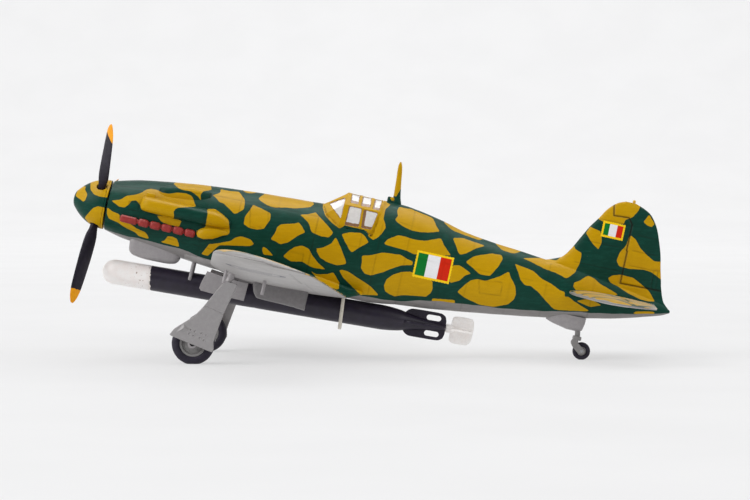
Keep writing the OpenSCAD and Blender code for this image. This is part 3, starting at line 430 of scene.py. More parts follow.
class Mat:
    """A node material with short names for the usual nodes."""

    def __init__(self, name):
        self.m = bpy.data.materials.new(name)
        self.m.use_nodes = True
        self.t = self.m.node_tree
        self.t.nodes.clear()
        self.out = self.t.nodes.new("ShaderNodeOutputMaterial")
        self.b = self.t.nodes.new("ShaderNodeBsdfPrincipled")
        self.t.links.new(self.b.outputs[0], self.out.inputs[0])
        tc = self.t.nodes.new("ShaderNodeTexCoord")
        vm = self.t.nodes.new("ShaderNodeVectorMath")
        vm.operation = "MULTIPLY"
        self.t.links.new(tc.outputs["Object"], vm.inputs[0])
        vm.inputs[1].default_value = (1000, 1000, 1000)
        self.pos = vm.outputs[0]
        self._craft = None
        MATS[name] = self.m

    def put(self, sock, v):
        if isinstance(v, bpy.types.NodeSocket):
            self.t.links.new(v, sock)
        else:
            sock.default_value = v

    def n(self, op, a, b=0.0, c=0.0, clamp=False):
        k = self.t.nodes.new("ShaderNodeMath")
        k.operation, k.use_clamp = op, clamp
        for i, v in enumerate((a, b, c)):
            if i < len(k.inputs):
                self.put(k.inputs[i], v)
        return k.outputs[0]

    def add(self, a, b): return self.n("ADD", a, b)
    def sub(self, a, b): return self.n("SUBTRACT", a, b)
    def mul(self, a, b): return self.n("MULTIPLY", a, b)
    def mx(self, a, b): return self.n("MAXIMUM", a, b)
    def mn(self, a, b): return self.n("MINIMUM", a, b)
    def ab(self, a): return self.n("ABSOLUTE", a)

    def attr(self, name):
        k = self.t.nodes.new("ShaderNodeAttribute")
        k.attribute_name = name
        return k.outputs["Fac"]

    def craft(self):
        if self._craft is None:
            k = self.t.nodes.new("ShaderNodeAttribute")
            k.attribute_name = "craft"
            s = self.t.nodes.new("ShaderNodeSeparateXYZ")
            self.t.links.new(k.outputs["Vector"], s.inputs[0])
            self._craft = s.outputs
        return self._craft

    def noise(self, scale, detail=3.0, rough=0.5, vec=None, stretch=None):
        k = self.t.nodes.new("ShaderNodeTexNoise")
        v = vec or self.pos
        if stretch:
            s = self.t.nodes.new("ShaderNodeVectorMath")
            s.operation = "MULTIPLY"
            self.t.links.new(v, s.inputs[0])
            s.inputs[1].default_value = stretch
            v = s.outputs[0]
        self.t.links.new(v, k.inputs["Vector"])
        k.inputs["Scale"].default_value = scale
        k.inputs["Detail"].default_value = detail
        k.inputs["Roughness"].default_value = rough
        return k.outputs["Fac"]

    def step(self, v, lo, hi):
        k = self.t.nodes.new("ShaderNodeMapRange")
        k.interpolation_type = "SMOOTHSTEP"
        self.put(k.inputs["Value"], v)
        k.inputs["From Min"].default_value, k.inputs["From Max"].default_value = lo, hi
        return k.outputs[0]

    def remap(self, v, a, b, c, d):
        k = self.t.nodes.new("ShaderNodeMapRange")
        self.put(k.inputs["Value"], v)
        for s, q in zip(("From Min", "From Max", "To Min", "To Max"), (a, b, c, d)):
            k.inputs[s].default_value = q
        return k.outputs[0]

    def mix(self, f, a, b):
        k = self.t.nodes.new("ShaderNodeMix")
        k.data_type = "RGBA"
        self.put(k.inputs[0], f)
        self.put(k.inputs[6], a)
        self.put(k.inputs[7], b)
        return k.outputs[2]

    def shade(self, col, k):
        """Colour times a number."""
        h = self.t.nodes.new("ShaderNodeVectorMath")
        h.operation = "SCALE"
        self.put(h.inputs[0], col)
        self.put(h.inputs[3], k)
        return h.outputs[0]

    def bump(self, height, strength=0.3, dist=0.00005):
        k = self.t.nodes.new("ShaderNodeBump")
        k.inputs["Strength"].default_value = strength
        k.inputs["Distance"].default_value = dist
        self.put(k.inputs["Height"], height)
        self.t.links.new(k.outputs[0], self.b.inputs["Normal"])

    def set(self, **kw):
        for k, v in kw.items():
            self.put(self.b.inputs[k.replace("_", " ")], v)
        return self


OCHRE, OCHRE2 = lin(190, 146, 0), lin(196, 152, 2)
GREEN, GREEN2 = lin(10, 58, 47), lin(17, 68, 57)
# underside grey of the camouflaged pieces, darker than the wing's grey_under: painted shade on the underside grey
SHADED_GREY, SHADED_GREY2 = lin(138, 135, 134), lin(148, 145, 144)


def stroke(M):
    """Fine brush streaks and grain shared by the painted pieces."""
    grain = M.noise(5.0, 3.0, 0.65)
    strk = M.noise(1.3, 4.0, 0.6, stretch=(0.35, 1.0, 1.6))
    return grain, strk


def camo(name, flags=True, spec=0.12, rough=(0.3, 0.46), bumps=0.35):
    M = Mat(name)
    x, y, z = M.craft()
    grain, strk = stroke(M)
    edge = M.mul(M.sub(M.noise(0.9, 4.0, 0.6), 0.5), 0.22)
    o = M.step(M.add(M.attr("ochre"), edge), -0.05, 0.05)
    g = M.step(M.add(M.attr("grey"), M.mul(edge, 0.5)), -0.05, 0.05)
    och = M.mix(M.step(strk, 0.35, 0.7), OCHRE, OCHRE2)
    grn = M.mix(M.step(strk, 0.4, 0.75), GREEN, GREEN2)
    rim = M.step(M.ab(M.sub(M.add(M.attr("ochre"), edge), 0.12)), 0.16, 0.0)
    och = M.mix(M.mul(rim, 0.3), och, lin(200, 157, 12))
    col = M.mix(o, grn, och)
    # the darker underside grey: painted shade
    gry = M.mix(M.step(strk, 0.4, 0.8), SHADED_GREY, SHADED_GREY2)
    col = M.mix(g, col, gry)
    if flags:
        left = M.n("LESS_THAN", M.ab(y), 20.0)
        for cx, cz, hx, hz, b, per, b1, b2 in ((78.55, 1.95, 4.05, 2.85, 0.45, 0.62, 77.05, 79.75),
                                               (114.8, 17.68, 2.42, 1.68, 0.4, 0.5, 113.9, 115.55)):
            dx, dz = M.ab(M.sub(x, cx)), M.ab(M.sub(z, cz))
            saw = M.mul(M.add(M.n("PINGPONG", M.add(x, 7.0), per / 2), M.n("PINGPONG", M.add(z, 9.0), per / 2)), 0.32)
            box = M.mx(M.sub(dx, hx), M.sub(dz, hz))
            outer = M.step(M.add(box, saw), 0.13, 0.05)
            inner = M.step(M.add(box, b), 0.03, -0.03)
            f = M.mix(M.step(x, b1 - 0.04, b1 + 0.04), lin(12, 116, 44), lin(236, 236, 240))
            f = M.mix(M.step(x, b2 - 0.04, b2 + 0.04), f, lin(208, 40, 14))
            f = M.mix(inner, lin(248, 206, 24), f)
            col = M.mix(M.mul(outer, left), col, f)
    # engraved lines darkened towards near black brown: painted shade in the grooves
    col = M.mix(M.mul(M.attr("groove"), 0.9), col, lin(24, 17, 8))
    chips = M.step(M.noise(2.3, 2.0, 0.5), 0.78, 0.8)
    col = M.mix(M.mul(chips, 0.5), col, lin(120, 96, 60))
    col = M.shade(col, M.remap(grain, 0.2, 0.8, 0.93, 1.06))
    M.set(Base_Color=col, Roughness=M.remap(M.noise(1.1, 3.0, 0.6), 0.3, 0.7, *rough), Specular_IOR_Level=spec)
    M.b.inputs["Coat Weight"].default_value = 0.0
    h = M.add(M.add(M.mul(o, 0.55), M.mul(grain, 0.45)), M.mul(strk, 0.55))
    M.bump(h, bumps, 0.00006)
    return M


def plain(name, c1, c2, rough=(0.38, 0.55), spec=0.45, scale=1.3, bump=0.3, metallic=0.0, coat=0.0, worn=None, grainy=1.0):
    M = Mat(name)
    grain, strk = stroke(M)
    col = M.mix(M.step(M.noise(scale, 4.0, 0.6), 0.35, 0.7), c1, c2)
    if worn:
        col = M.mix(M.mul(M.step(M.noise(3.1, 3.0, 0.6), 0.66, 0.72), 0.6), col, worn)
    col = M.shade(col, M.remap(grain, 0.2, 0.8, 1 - 0.07 * grainy, 1 + 0.06 * grainy))
    M.set(Base_Color=col, Roughness=M.remap(strk, 0.3, 0.7, *rough), Metallic=metallic, Specular_IOR_Level=spec)
    M.b.inputs["Coat Weight"].default_value = coat
    M.bump(M.add(M.mul(grain, 0.5), strk), bump, 0.00005)
    return M


camo("camo")
camo("camo_plain", flags=False)
TOP = camo("camo_top", flags=False, spec=0.22, rough=(0.3, 0.42), bumps=0.06)
TOP.b.inputs["Sheen Weight"].default_value = 0.3
TOP.b.inputs["Sheen Roughness"].default_value = 0.22


def grey_under():
    M = Mat("grey_under")
    grain, strk = stroke(M)
    col = M.mix(M.step(M.noise(0.35, 4.0, 0.6), 0.35, 0.7), lin(158, 155, 154), lin(168, 165, 163))
    mark = M.step(M.add(M.attr("mark"), M.mul(M.sub(M.noise(1.5, 3.0), 0.5), 0.3)), -0.05, 0.05)
    col = M.mix(mark, col, lin(70, 70, 84))
    # engraved lines darkened a little: painted shade in the grooves
    col = M.mix(M.mul(M.attr("groove"), 0.25), col, lin(110, 108, 108))
    col = M.shade(col, M.remap(grain, 0.2, 0.8, 0.94, 1.05))
    M.set(Base_Color=col, Roughness=M.remap(strk, 0.3, 0.7, 0.36, 0.5), Specular_IOR_Level=0.5)
    M.bump(M.add(M.mul(grain, 0.5), strk), 0.3, 0.00005)


grey_under()
plain("grey", lin(152, 148, 150), lin(160, 156, 157), grainy=0.5)
plain("cover_grey", lin(152, 149, 150), lin(158, 155, 156), grainy=0.5)
plain("grey_dark", lin(128, 126, 126), lin(138, 136, 135), grainy=0.5)
# darker grey for the radiator boxes under the wing: painted shade
plain("grey_shade", lin(112, 109, 110), lin(120, 117, 118), grainy=0.5)
plain("exhaust", lin(138, 28, 24), lin(156, 38, 32), rough=(0.42, 0.6), worn=lin(110, 28, 28))
plain("torpedo_black", lin(27, 20, 37), lin(34, 27, 46), rough=(0.34, 0.5), spec=0.4)
plain("black", lin(26, 22, 30), lin(36, 31, 40), rough=(0.4, 0.58))
plain("rubber", lin(32, 28, 41), lin(41, 36, 51), rough=(0.5, 0.7), spec=0.3)
plain("white", lin(247, 242, 239), lin(251, 248, 246), rough=(0.32, 0.46))
plain("cream", lin(206, 200, 186), lin(220, 214, 202), rough=(0.4, 0.55))
plain("cockpit", lin(96, 112, 88), lin(116, 130, 104), rough=(0.5, 0.65))
plain("brass", lin(196, 160, 84), lin(212, 178, 104), rough=(0.25, 0.38), metallic=1.0)
plain("steel", lin(160, 162, 166), lin(182, 184, 188), rough=(0.22, 0.36), metallic=1.0)
plain("red_lamp", lin(200, 150, 8), lin(214, 166, 28))
plain("yellow_plate", lin(206, 156, 10), lin(220, 172, 34))


def warhead():
    M = Mat("warhead")
    grain, strk = stroke(M)
    col = M.mix(M.step(M.noise(0.5, 4.0), 0.35, 0.7), lin(247, 240, 237), lin(251, 248, 246))
    near = M.step(M.attr("along"), 4.0, 8.0)
    chips = M.mul(M.step(M.noise(1.9, 3.0, 0.6), 0.655, 0.675), near)
    col = M.mix(M.mul(chips, 0.85), col, lin(140, 100, 78))
    M.set(Base_Color=M.shade(col, M.remap(grain, 0.2, 0.8, 0.96, 1.03)), Roughness=M.remap(strk, 0.3, 0.7, 0.3, 0.44))
    M.bump(M.add(M.mul(grain, 0.4), M.add(strk, M.mul(chips, -0.8))), 0.3, 0.00005)


def torpedo_paint():
    M = Mat("torpedo_paint")
    grain, strk = stroke(M)
    col = M.mix(M.step(M.noise(0.7, 4.0), 0.35, 0.7), lin(27, 20, 37), lin(34, 27, 46))
    w = M.step(M.add(M.attr("white"), M.mul(M.sub(M.noise(1.6, 4.0, 0.65), 0.5), 1.6)), -0.05, 0.05)
    col = M.mix(w, col, lin(242, 234, 229))
    M.set(Base_Color=M.shade(col, M.remap(grain, 0.2, 0.8, 0.93, 1.06)), Roughness=M.remap(strk, 0.3, 0.7, 0.33, 0.48))
    M.bump(M.add(M.mul(grain, 0.5), strk), 0.3, 0.00005)


def blade_paint():
    M = Mat("blade")
    grain, strk = stroke(M)
    col = M.mix(M.step(M.noise(1.2, 4.0), 0.35, 0.7), lin(23, 19, 31), lin(33, 27, 42))
    tip = M.step(M.add(M.attr("tip"), M.mul(M.sub(M.noise(1.4, 3.0), 0.5), 0.4)), -0.05, 0.05)
    col = M.mix(tip, col, M.mix(M.step(strk, 0.3, 0.7), lin(236, 152, 0), lin(244, 166, 4)))
    M.set(Base_Color=M.shade(col, M.remap(grain, 0.2, 0.8, 0.93, 1.06)), Roughness=M.remap(strk, 0.3, 0.7, 0.42, 0.56), Specular_IOR_Level=0.18)
    M.bump(M.add(M.mul(grain, 0.6), strk), 0.35, 0.00005)


def pane():
    """Clear plastic drawn almost white and nearly opaque: painted light of the bright backdrop seen through it. A brown
    band along its edges is painted shade: the far side's frames seen through the glass.
    """
    M = Mat("pane")
    grain, strk = stroke(M)
    e = M.add(M.attr("rim"), M.mul(M.sub(M.noise(1.7, 3.0), 0.5), 0.3))
    col = M.mix(M.step(M.noise(1.1, 3.0), 0.4, 0.7), lin(228, 226, 225), lin(238, 236, 236))
    # brown band at the pane edges: painted shade of the far side's frames seen through the clear plastic
    col = M.mix(M.step(e, 0.14, 0.06), col, lin(142, 104, 72))
    M.set(Base_Color=col, Roughness=0.12, Specular_IOR_Level=0.5, Alpha=0.9)
    M.b.inputs["Transmission Weight"].default_value = 0.0
    M.bump(strk, 0.15, 0.00004)


def core():
    """Radiator core: fine upright and level slats, the cells between them near black as painted shade."""
    M = Mat("core")
    s = M.t.nodes.new("ShaderNodeSeparateXYZ")
    M.t.links.new(M.pos, s.inputs[0])
    a = M.n("PINGPONG", s.outputs[1], 0.14)
    b = M.n("PINGPONG", s.outputs[2], 0.14)
    h = M.mn(M.step(a, 0.02, 0.07), M.step(b, 0.02, 0.07))
    # cells dark, slats grey: painted shade inside the core's openings
    col = M.mix(h, lin(96, 94, 92), lin(24, 22, 26))
    M.set(Base_Color=col, Roughness=0.6)
    M.bump(M.mul(h, -1.0), 0.5, 0.00008)


warhead()
torpedo_paint()
blade_paint()
pane()
core()


# ------------------------------------------------------------------ fuselage
FUS = np.array([
    [7.9, 5.35, -5.3, 5.35, 0, 2], [10, 5.95, -5.85, 5.7, 0, 2], [12, 6.45, -6.3, 5.95, 0, 2],
    [15.5, 7.1, -6.75, 6.2, .1, 2.1], [20, 7.75, -7.3, 6.4, .2, 2.2], [25, 8.4, -7.8, 6.55, .2, 2.4],
    [31, 8.95, -8.45, 6.65, .3, 2.7], [38, 9.45, -8.8, 6.75, .3, 3], [46, 9.85, -8.8, 6.8, .3, 3],
    [53, 10.2, -8.65, 6.8, .3, 3], [57, 10.9, -8.6, 6.75, .4, 3], [61, 12.2, -8.6, 6.65, .5, 2.9],
    [65, 13.55, -8.6, 6.4, .6, 2.7], [69, 13.5, -8.3, 6.1, .7, 2.5], [73, 13.05, -7.75, 5.75, .8, 2.3],
    [78, 12.1, -7.35, 5.35, .9, 2.2], [84, 10.6, -6.65, 4.9, 1, 2.1], [90, 9.75, -5.85, 4.4, 1.2, 2],
    [96, 9.2, -5, 3.9, 1.4, 2], [102, 8.55, -4.1, 3.35, 1.6, 2], [108, 7.8, -3.1, 2.8, 1.9, 2],
    [114, 6.9, -1.85, 2.2, 2.2, 2], [120, 5.9, -.55, 1.6, 2.5, 2], [125, 5, .85, 1.05, 2.8, 2],
    [129, 4.2, 2.1, .55, 3, 2], [130.5, 3.4, 2.85, .22, 3.1, 2]])


def section(x, a, t=0.0):
    """Right-hand half section: x[m] stations, a[n] angles from 90 at the top to -90."""
    q = interp(FUS[:, 0], FUS[:, 1:], x)
    top, bel, w, zc, n = [q[:, k][:, None] for k in range(5)]
    a = a[None, :]
    e = np.where(a >= 0, 2.0, n)
    co = np.clip(np.cos(a), 0, 1) ** (2 / e)
    si = np.abs(np.sin(a)) ** (2 / e)
    y = np.maximum((w - t) * co, 0.012)
    z = np.where(a >= 0, zc + (top - t - zc) * si, zc - (zc - bel - t) * si)
    return np.stack([np.repeat(x[:, None], a.shape[1], 1), y, z], -1)


def half_width(x, z):
    q = interp(FUS[:, 0], FUS[:, 1:], np.atleast_1d(np.asarray(x, float)))
    top, bel, w, zc, n = q.T
    up = z >= zc
    r = np.where(up, (z - zc) / np.maximum(top - zc, 1e-6), (zc - z) / np.maximum(zc - bel, 1e-6))
    e = np.where(up, 2.0, n)
    return w * np.clip(1 - np.clip(r, 0, 1) ** e, 0, 1) ** (1 / e)


# Engraved lines, side elevation: outline, half width of the groove, depth
LINES = [
    ([(72.4, -8), (72.4, 13.6)], 0.13, 0.05), ([(80.6, -7.5), (80.6, 12)], 0.12, 0.035),
    ([(86.2, -7), (86.2, 10.6)], 0.12, 0.05), ([(95.4, -6), (95.4, 9.6)], 0.12, 0.04),
    ([(103.2, -4.5), (103.2, 8.7)], 0.12, 0.045), ([(113.2, -2.2), (113.2, 7)], 0.12, 0.04),
    ([(28.8, -8.3), (28.8, 8.9)], 0.12, 0.06), ([(52.4, -8.6), (52.4, 10.3)], 0.13, 0.05),
    ([(43.6, -2), (43.6, 9.8)], 0.12, 0.045), ([(35.6, 4.6), (35.6, 9.4)], 0.12, 0.04),
    ([(8, 4.35), (28.8, 6.95), (52.4, 7.3)], 0.12, 0.05), ([(8, -3.6), (28.8, -4.3), (52, -4.3)], 0.11, 0.045),
    ([(57.6, 2.5), (66.4, 2.9), (100, 3.6)], 0.11, 0.03), ([(66.2, -7.4), (66.2, 8.5)], 0.13, 0.045),
    ([(37.7, 6.3), (41.5, 7.1), (42.4, 2.7), (38.7, 1.9), (37.7, 6.3)], 0.12, 0.05),
    ([(88.7, 1.35), (93.7, 1.8), (94.0, -1.0), (89.4, -1.5), (88.7, 1.35)], 0.12, 0.05),
    ([(45.5, -1.2), (51.0, -1.2), (51.0, -5.4), (45.5, -5.4), (45.5, -1.2)], 0.11, 0.045),
    ([(69.5, 9.8), (79, 8.6)], 0.11, 0.035), ([(62.2, 0.4), (62.2, 5.6)], 0.11, 0.035),
    ([(12.4, 1.9), (14.6, 2.1), (14.7, 0.3), (12.5, 0.1), (12.4, 1.9)], 0.1, 0.07),
]
FIN_LINES = [
    ([(118.72, 6.9), (118.72, 14.0), (118.55, 14.1), (118.55, 19.7)], 0.26, 0.24),
    ([(118.6, 19.7), (117.6, 21.1), (114.3, 20.9), (113.8, 23.6)], 0.2, 0.18),
    ([(118.7, 6.95), (128.4, 7.15)], 0.2, 0.18),
    ([(120.4, 17.8), (124.7, 17.8)], 0.14, 0.05), ([(119.9, 14.35), (125.5, 14.35)], 0.14, 0.05),
    ([(119.9, 11.1), (126.4, 11.1)], 0.14, 0.05), ([(125.5, 7.1), (125.25, 11.2), (126.9, 11.4)], 0.17, 0.15), ([(126.5, 7.3), (126.2, 10.9)], 0.13, 0.1),
    ([(108.2, 9.4), (118.4, 9.4)], 0.13, 0.05), ([(110.0, 14.4), (118.3, 14.4)], 0.13, 0.04),
    ([(111.6, 19.6), (118.3, 19.6)], 0.13, 0.035),
]


def carve(u, v, lines):
    out = np.zeros(u.shape)
    for P, w, dep in lines:
        d2 = np.full(u.shape, 1e9)
        for (ax, ay), (bx, by) in zip(P[:-1], P[1:]):
            ex, ey = bx - ax, by - ay
            t = np.clip(((u - ax) * ex + (v - ay) * ey) / (ex * ex + ey * ey + 1e-9), 0, 1)
            d2 = np.minimum(d2, (u - ax - t * ex) ** 2 + (v - ay - t * ey) ** 2)
        out = np.maximum(out, dep * np.exp(-d2 / (w * w)))
    return out


HOOD = np.array([(52.75, 10.9), (53.15, 9.3), (53.85, 8.0), (57.0, 6.0), (63.0, 6.25), (64.4, 5.4), (65.15, 9.0),
                 (65.2, 15.0), (52.75, 15.0)])
BELLY = np.array([(26, -6.7), (29, -6.7), (62, -8.28), (66, -8.28), (66, -12), (26, -12)])
XS = np.unique(np.concatenate([np.arange(7.9, 130.5, 0.28), [130.5], FUS[:, 0]]))
AS = np.radians(np.concatenate([[90, 89.4, 88.5], np.arange(87, -88, -1.9), [-88.5, -89.4, -90]]))


def shell(side, t=0.0, xs=XS, carved=True):
    V = section(xs, AS, t)
    x, z = V[..., 0], V[..., 2]
    if carved:
        dep = carve(x, z, LINES)
        # a slight waviness from the moulding
        dep = dep + 0.012 * np.sin(x * 0.9 + z * 0.7)
        zc = interp(FUS[:, 0], FUS[:, 4], xs)[:, None]
        rad = np.hypot(V[..., 1], z - zc) + 1e-6
        k = np.clip(1 - dep / rad, 0.2, 1.1)
        seam = V[..., 1] < 0.05
        V[..., 1] = np.where(seam, V[..., 1], V[..., 1] * k)
        V[..., 2] = zc + (z - zc) * k - np.where(seam, np.sign(z - zc) * 0.05, 0)
    V[..., 1] *= side
    return V


def cell_centres(V):
    return (V[:-1, :-1] + V[1:, :-1] + V[1:, 1:] + V[:-1, 1:]) / 4


FIN = np.array([
    [3.6, 112, 130.1, .35], [5, 107, 128.7, .62], [7.4, 100.2, 127.75, 1], [8.2, 101.2, 127.5, 1.05], [8.9, 103.1, 127.35, 1.1],
    [9.9, 105.3, 127.1, 1.1], [11.7, 106.7, 126.65, 1.08], [14.6, 108.25, 126, 1], [17.5, 109.8, 125.05, .9],
    [20, 111.5, 124.05, .78], [21.8, 112.6, 122.9, .66], [22.9, 113.6, 121.85, .56], [23.8, 114.75, 120.1, .42],
    [24.4, 116.2, 118.4, .2]])


def naca(u):
    return 5 * (0.2969 * np.sqrt(u) - 0.126 * u - 0.3516 * u**2 + 0.2843 * u**3 - 0.1036 * u**4)


def fin_surface(side):
    zs = np.concatenate([np.arange(3.6, 23.6, 0.15), np.linspace(23.62, 24.4, 10)])
    q = interp(FIN[:, 0], FIN[:, 1:], zs)
    u = (1 - np.cos(np.linspace(0, 1, 150) * np.pi * 0.62)) / (1 - math.cos(np.pi * 0.62))
    x = q[:, :1] + (q[:, 1:2] - q[:, :1]) * u
    t = 0.01 + q[:, 2:3] * 2 * naca(u)[None] * 0.98 + 0.10 * u[None]
    z = np.repeat(zs[:, None], len(u), 1)
    dep = carve(x, z, FIN_LINES)
    # the rudder's skin sags a little between its ribs
    rud = smooth(118.9, 120.0, x) * smooth(7.2, 8.5, z) * smooth(22.8, 21, z)
    dep = dep + rud * 0.03 * (1 - np.abs(np.sin((z - 7.9) / 3.3 * np.pi)))
    t = np.maximum(t - dep, 0.02)
    # run into the fuselage with a fillet
    xc = np.clip(x, 8, 130.4)
    top = interp(FUS[:, 0], FUS[:, 1], xc.ravel()).reshape(x.shape)
    hw = half_width(xc.ravel(), z.ravel()).reshape(x.shape)
    hw = np.where(z < top, hw, -0.5 * (z - top))
    wide = interp(FUS[:, 0], FUS[:, 3], xc.ravel()).reshape(x.shape)
    k = np.clip(0.78 * (wide - t), 0.05, 1.6) * smooth(0.0, 0.1, u)[None] * smooth(1.0, 0.8, u)[None] + 0.02
    h = np.clip(0.5 + 0.5 * (t - hw) / k, 0, 1)
    t = hw * (1 - h) + t * h + k * h * (1 - h) - 0.05 * smooth(-0.1, 0.5, hw - t - k)
    t = np.maximum(t, 0.012)
    V = np.stack([x, side * t, z], -1)
    # close the trailing edge and the top at the seam
    V = np.concatenate([V, np.stack([x[:, -1:] + 0.0, side * np.full_like(x[:, -1:], 0.01), z[:, -1:]], -1)], 1)
    last = V[-1:].copy()
    last[..., 1] = side * 0.01
    last[..., 2] += 0.0
    return np.concatenate([V, last], 0)


def fuselage(side):
    P = Parts()
    V = shell(side)
    C = cell_centres(V)
    cx, cz = C[..., 0].ravel(), C[..., 2].ravel()
    hood = (poly_distance(cx, cz, HOOD) > 0).reshape(C.shape[:2])
    belly = (poly_distance(cx, cz, BELLY) > 0).reshape(C.shape[:2])
    P.add(*grid(V, flip=side > 0, keep=~(hood | belly)))
    # front face of the cowling and its bore, in the black material: painted shade for the gap behind the spinner
    ring = V[0]
    a = np.arctan2(ring[:, 2], ring[:, 1])
    inner = np.stack([np.full(len(a), 7.9), 4.45 * np.cos(a), 4.45 * np.sin(a)], -1)
    back = inner + [1.6, 0, 0]
    lip = ring * [1, 0.97, 0.97] + [-0.02, 0, 0]
    P.add(*grid(np.stack([back, inner, lip, ring * [1, 0.985, 0.985] + [-0.015, 0, 0]]), flip=side > 0), mat=2)
    P.add(*grid(np.stack([ring * [1, 0.985, 0.985] + [-0.015, 0, 0], ring]), flip=side > 0))
    # lining of the cockpit
    xs = np.arange(50.5, 67.5, 0.5)
    L = shell(side, 1.0, xs, carved=False)
    C = cell_centres(L)
    h2 = (poly_distance(C[..., 0].ravel(), C[..., 2].ravel(), HOOD) > 0).reshape(C.shape[:2])
    P.add(*grid(L, flip=side < 0, keep=~(h2 | (C[..., 2] < -3.4))), mat=1)
    P.add(*grid(fin_surface(side), flip=side < 0))
    P.open = True
    return P


for s, nm in ((-1, "left"), (1, "right")):
    piece(f"fuselage_{nm}_shell", fuselage(s), ["camo", "cockpit", "black"], "airframe", [f"fuselage_{nm}"],
          body_fields, angle=50)

# ------------------------------------------------------------------ wing
HALF = 82.3
TIP_Y = HALF - 10.3
DIH = 0.077


def sup(s, n):
    return 1 - np.clip(1 - np.clip(s, 0, 1) ** n, 0, 1) ** (1 / n)


def w_le(y):
    a = 32 + np.maximum(0, np.abs(y) - 7) * 0.06
    return a + (46.5 - a) * sup(np.clip((np.abs(y) - TIP_Y) / 10.3, 0, 1), 2.4) * 0.95


def w_te(y):
    a = 62 - np.maximum(0, np.abs(y) - 8) * 0.105
    return a - (a - 47.5) * sup(np.clip((np.abs(y) - TIP_Y) / 10.3, 0, 1), 2.4) * 0.9


def wpt(y, u, k):
    """Wing surface: y[m], u[n], k the side and strength of the camber."""
    y, u = y[:, None], u[None, :]
    a, b = w_le(y), w_te(y)
    c = b - a
    rise = np.maximum(0, np.abs(y) - 8) * DIH
    zl = -6.7 + rise - 0.99 * np.abs(y) / HALF
    zt = -8.28 + rise + 0.25 * np.abs(y) / HALF
    th = (0.165 - 0.04 * np.abs(y) / HALF) * (1 - 0.55 * sup(np.clip((np.abs(y) - TIP_Y) / 10.3, 0, 1), 2.2))
    z = zl * (1 - u) + zt * u + k * (th * c * naca(u) + 0.14 * u)
    return np.stack([a + c * u, np.broadcast_to(y, z.shape), z], -1)


def half_stations():
    out = np.arange(4.4, TIP_Y, 0.7)
    t = np.sin(np.linspace(0, np.pi / 2, 26)) * 10.3 + TIP_Y
    return np.unique(np.round(np.concatenate([out, t, [8.0]]), 4))


UW = (1 - np.cos(np.linspace(0, np.pi, 130))) / 2
UW = 0.55 * UW + 0.45 * np.linspace(0, 1, 130) ** 1.25
WING_LINES = []
for s in (-1, 1):
    hinge = lambda y, u: (float(w_le(np.array(y)) + (w_te(np.array(y)) - w_le(np.array(y))) * u), s * y)
    WING_LINES += [
        ([hinge(8.5, 0.8), hinge(45, 0.8)], 0.22, 0.14), ([hinge(45.6, 0.77), hinge(76, 0.79)], 0.24, 0.17),
        ([hinge(45.3, 0.77), hinge(45.3, 1.0)], 0.2, 0.14), ([hinge(76, 0.79), hinge(76, 1.0)], 0.2, 0.14),
        ([hinge(20, 0.1), hinge(20, 0.8)], 0.15, 0.05), ([hinge(33, 0.1), hinge(33, 0.8)], 0.15, 0.05),
        ([hinge(45.4, 0.06), hinge(45.4, 0.77)], 0.15, 0.06), ([hinge(60, 0.08), hinge(60, 0.78)], 0.15, 0.05),
        ([hinge(8, 0.3), hinge(74, 0.32)], 0.15, 0.04), ([hinge(58, 0.9), hinge(64, 0.9)], 0.15, 0.08),
        ([hinge(27, 0.42), hinge(31, 0.42), hinge(31, 0.5), hinge(27, 0.5), hinge(27, 0.42)], 0.14, 0.06),
        ([hinge(52, 0.42), hinge(56, 0.42), hinge(56, 0.52), hinge(52, 0.52), hinge(52, 0.42)], 0.14, 0.06)]
TOP_SEEDS = np.concatenate([jittered(24, 66, -84, -3, 9.4, 21), jittered(24, 66, 3, 84, 9.4, 22)])


def wing_surface(ys, k, dz=0.0, sign=1):
    V = wpt(ys, UW, k)
    dep = carve(V[..., 0], V[..., 1], WING_LINES)
    V[..., 2] += dz - sign * dep * np.minimum(1, 6 * (1 - UW)[None] + 0.3) * smooth(0.0, 0.03, UW)[None]
    return V, dep


ys = half_stations()
full = np.concatenate([-ys[::-1], ys])
P = Parts()
V, DEP = wing_surface(full, -0.85, -0.02, -1)
P.add(*grid(V))
te = np.stack([V[:, -1], V[:, -1] + [0, 0, 0.12]])
P.add(*grid(te))
nwing = P.n
B = [shell(s) for s in (-1, 1)]
for s, b in zip((-1, 1), B):
    C = cell_centres(b)
    bm_ = (poly_distance(C[..., 0].ravel(), C[..., 2].ravel(), BELLY) > 0).reshape(C.shape[:2])
    P.add(*grid(b, flip=s > 0, keep=bm_))
P.open = True


def under_fields(Q):
    x, y = Q[:, 0], np.abs(Q[:, 1])
    cx, cy, r = 44.0, 62.0, 5.3
    d = np.hypot(x - cx, y - cy)
    mark = 0.42 - np.abs(d - r)
    for k in (-1, 0, 1):
        bar = np.minimum(0.45 - np.abs(y - cy - k * 2.2), 3.3 - np.abs(x - cx))
        mark = np.maximum(mark, bar)
    for bx in (38.7, 49.3):
        mark = np.maximum(mark, np.minimum(0.55 - np.abs(x - bx), 2.0 - np.abs(y - cy)))
    # groove: strength of the painted shade in the engraved lines
    g = np.zeros(len(Q))
    g[:DEP.size] = np.clip(DEP.ravel() / 0.12, 0, 1)
    return {"mark": mark, "groove": g}


piece("wing_under", P, ["grey_under"], "airframe", ["wing_bottom"], under_fields, angle=50)

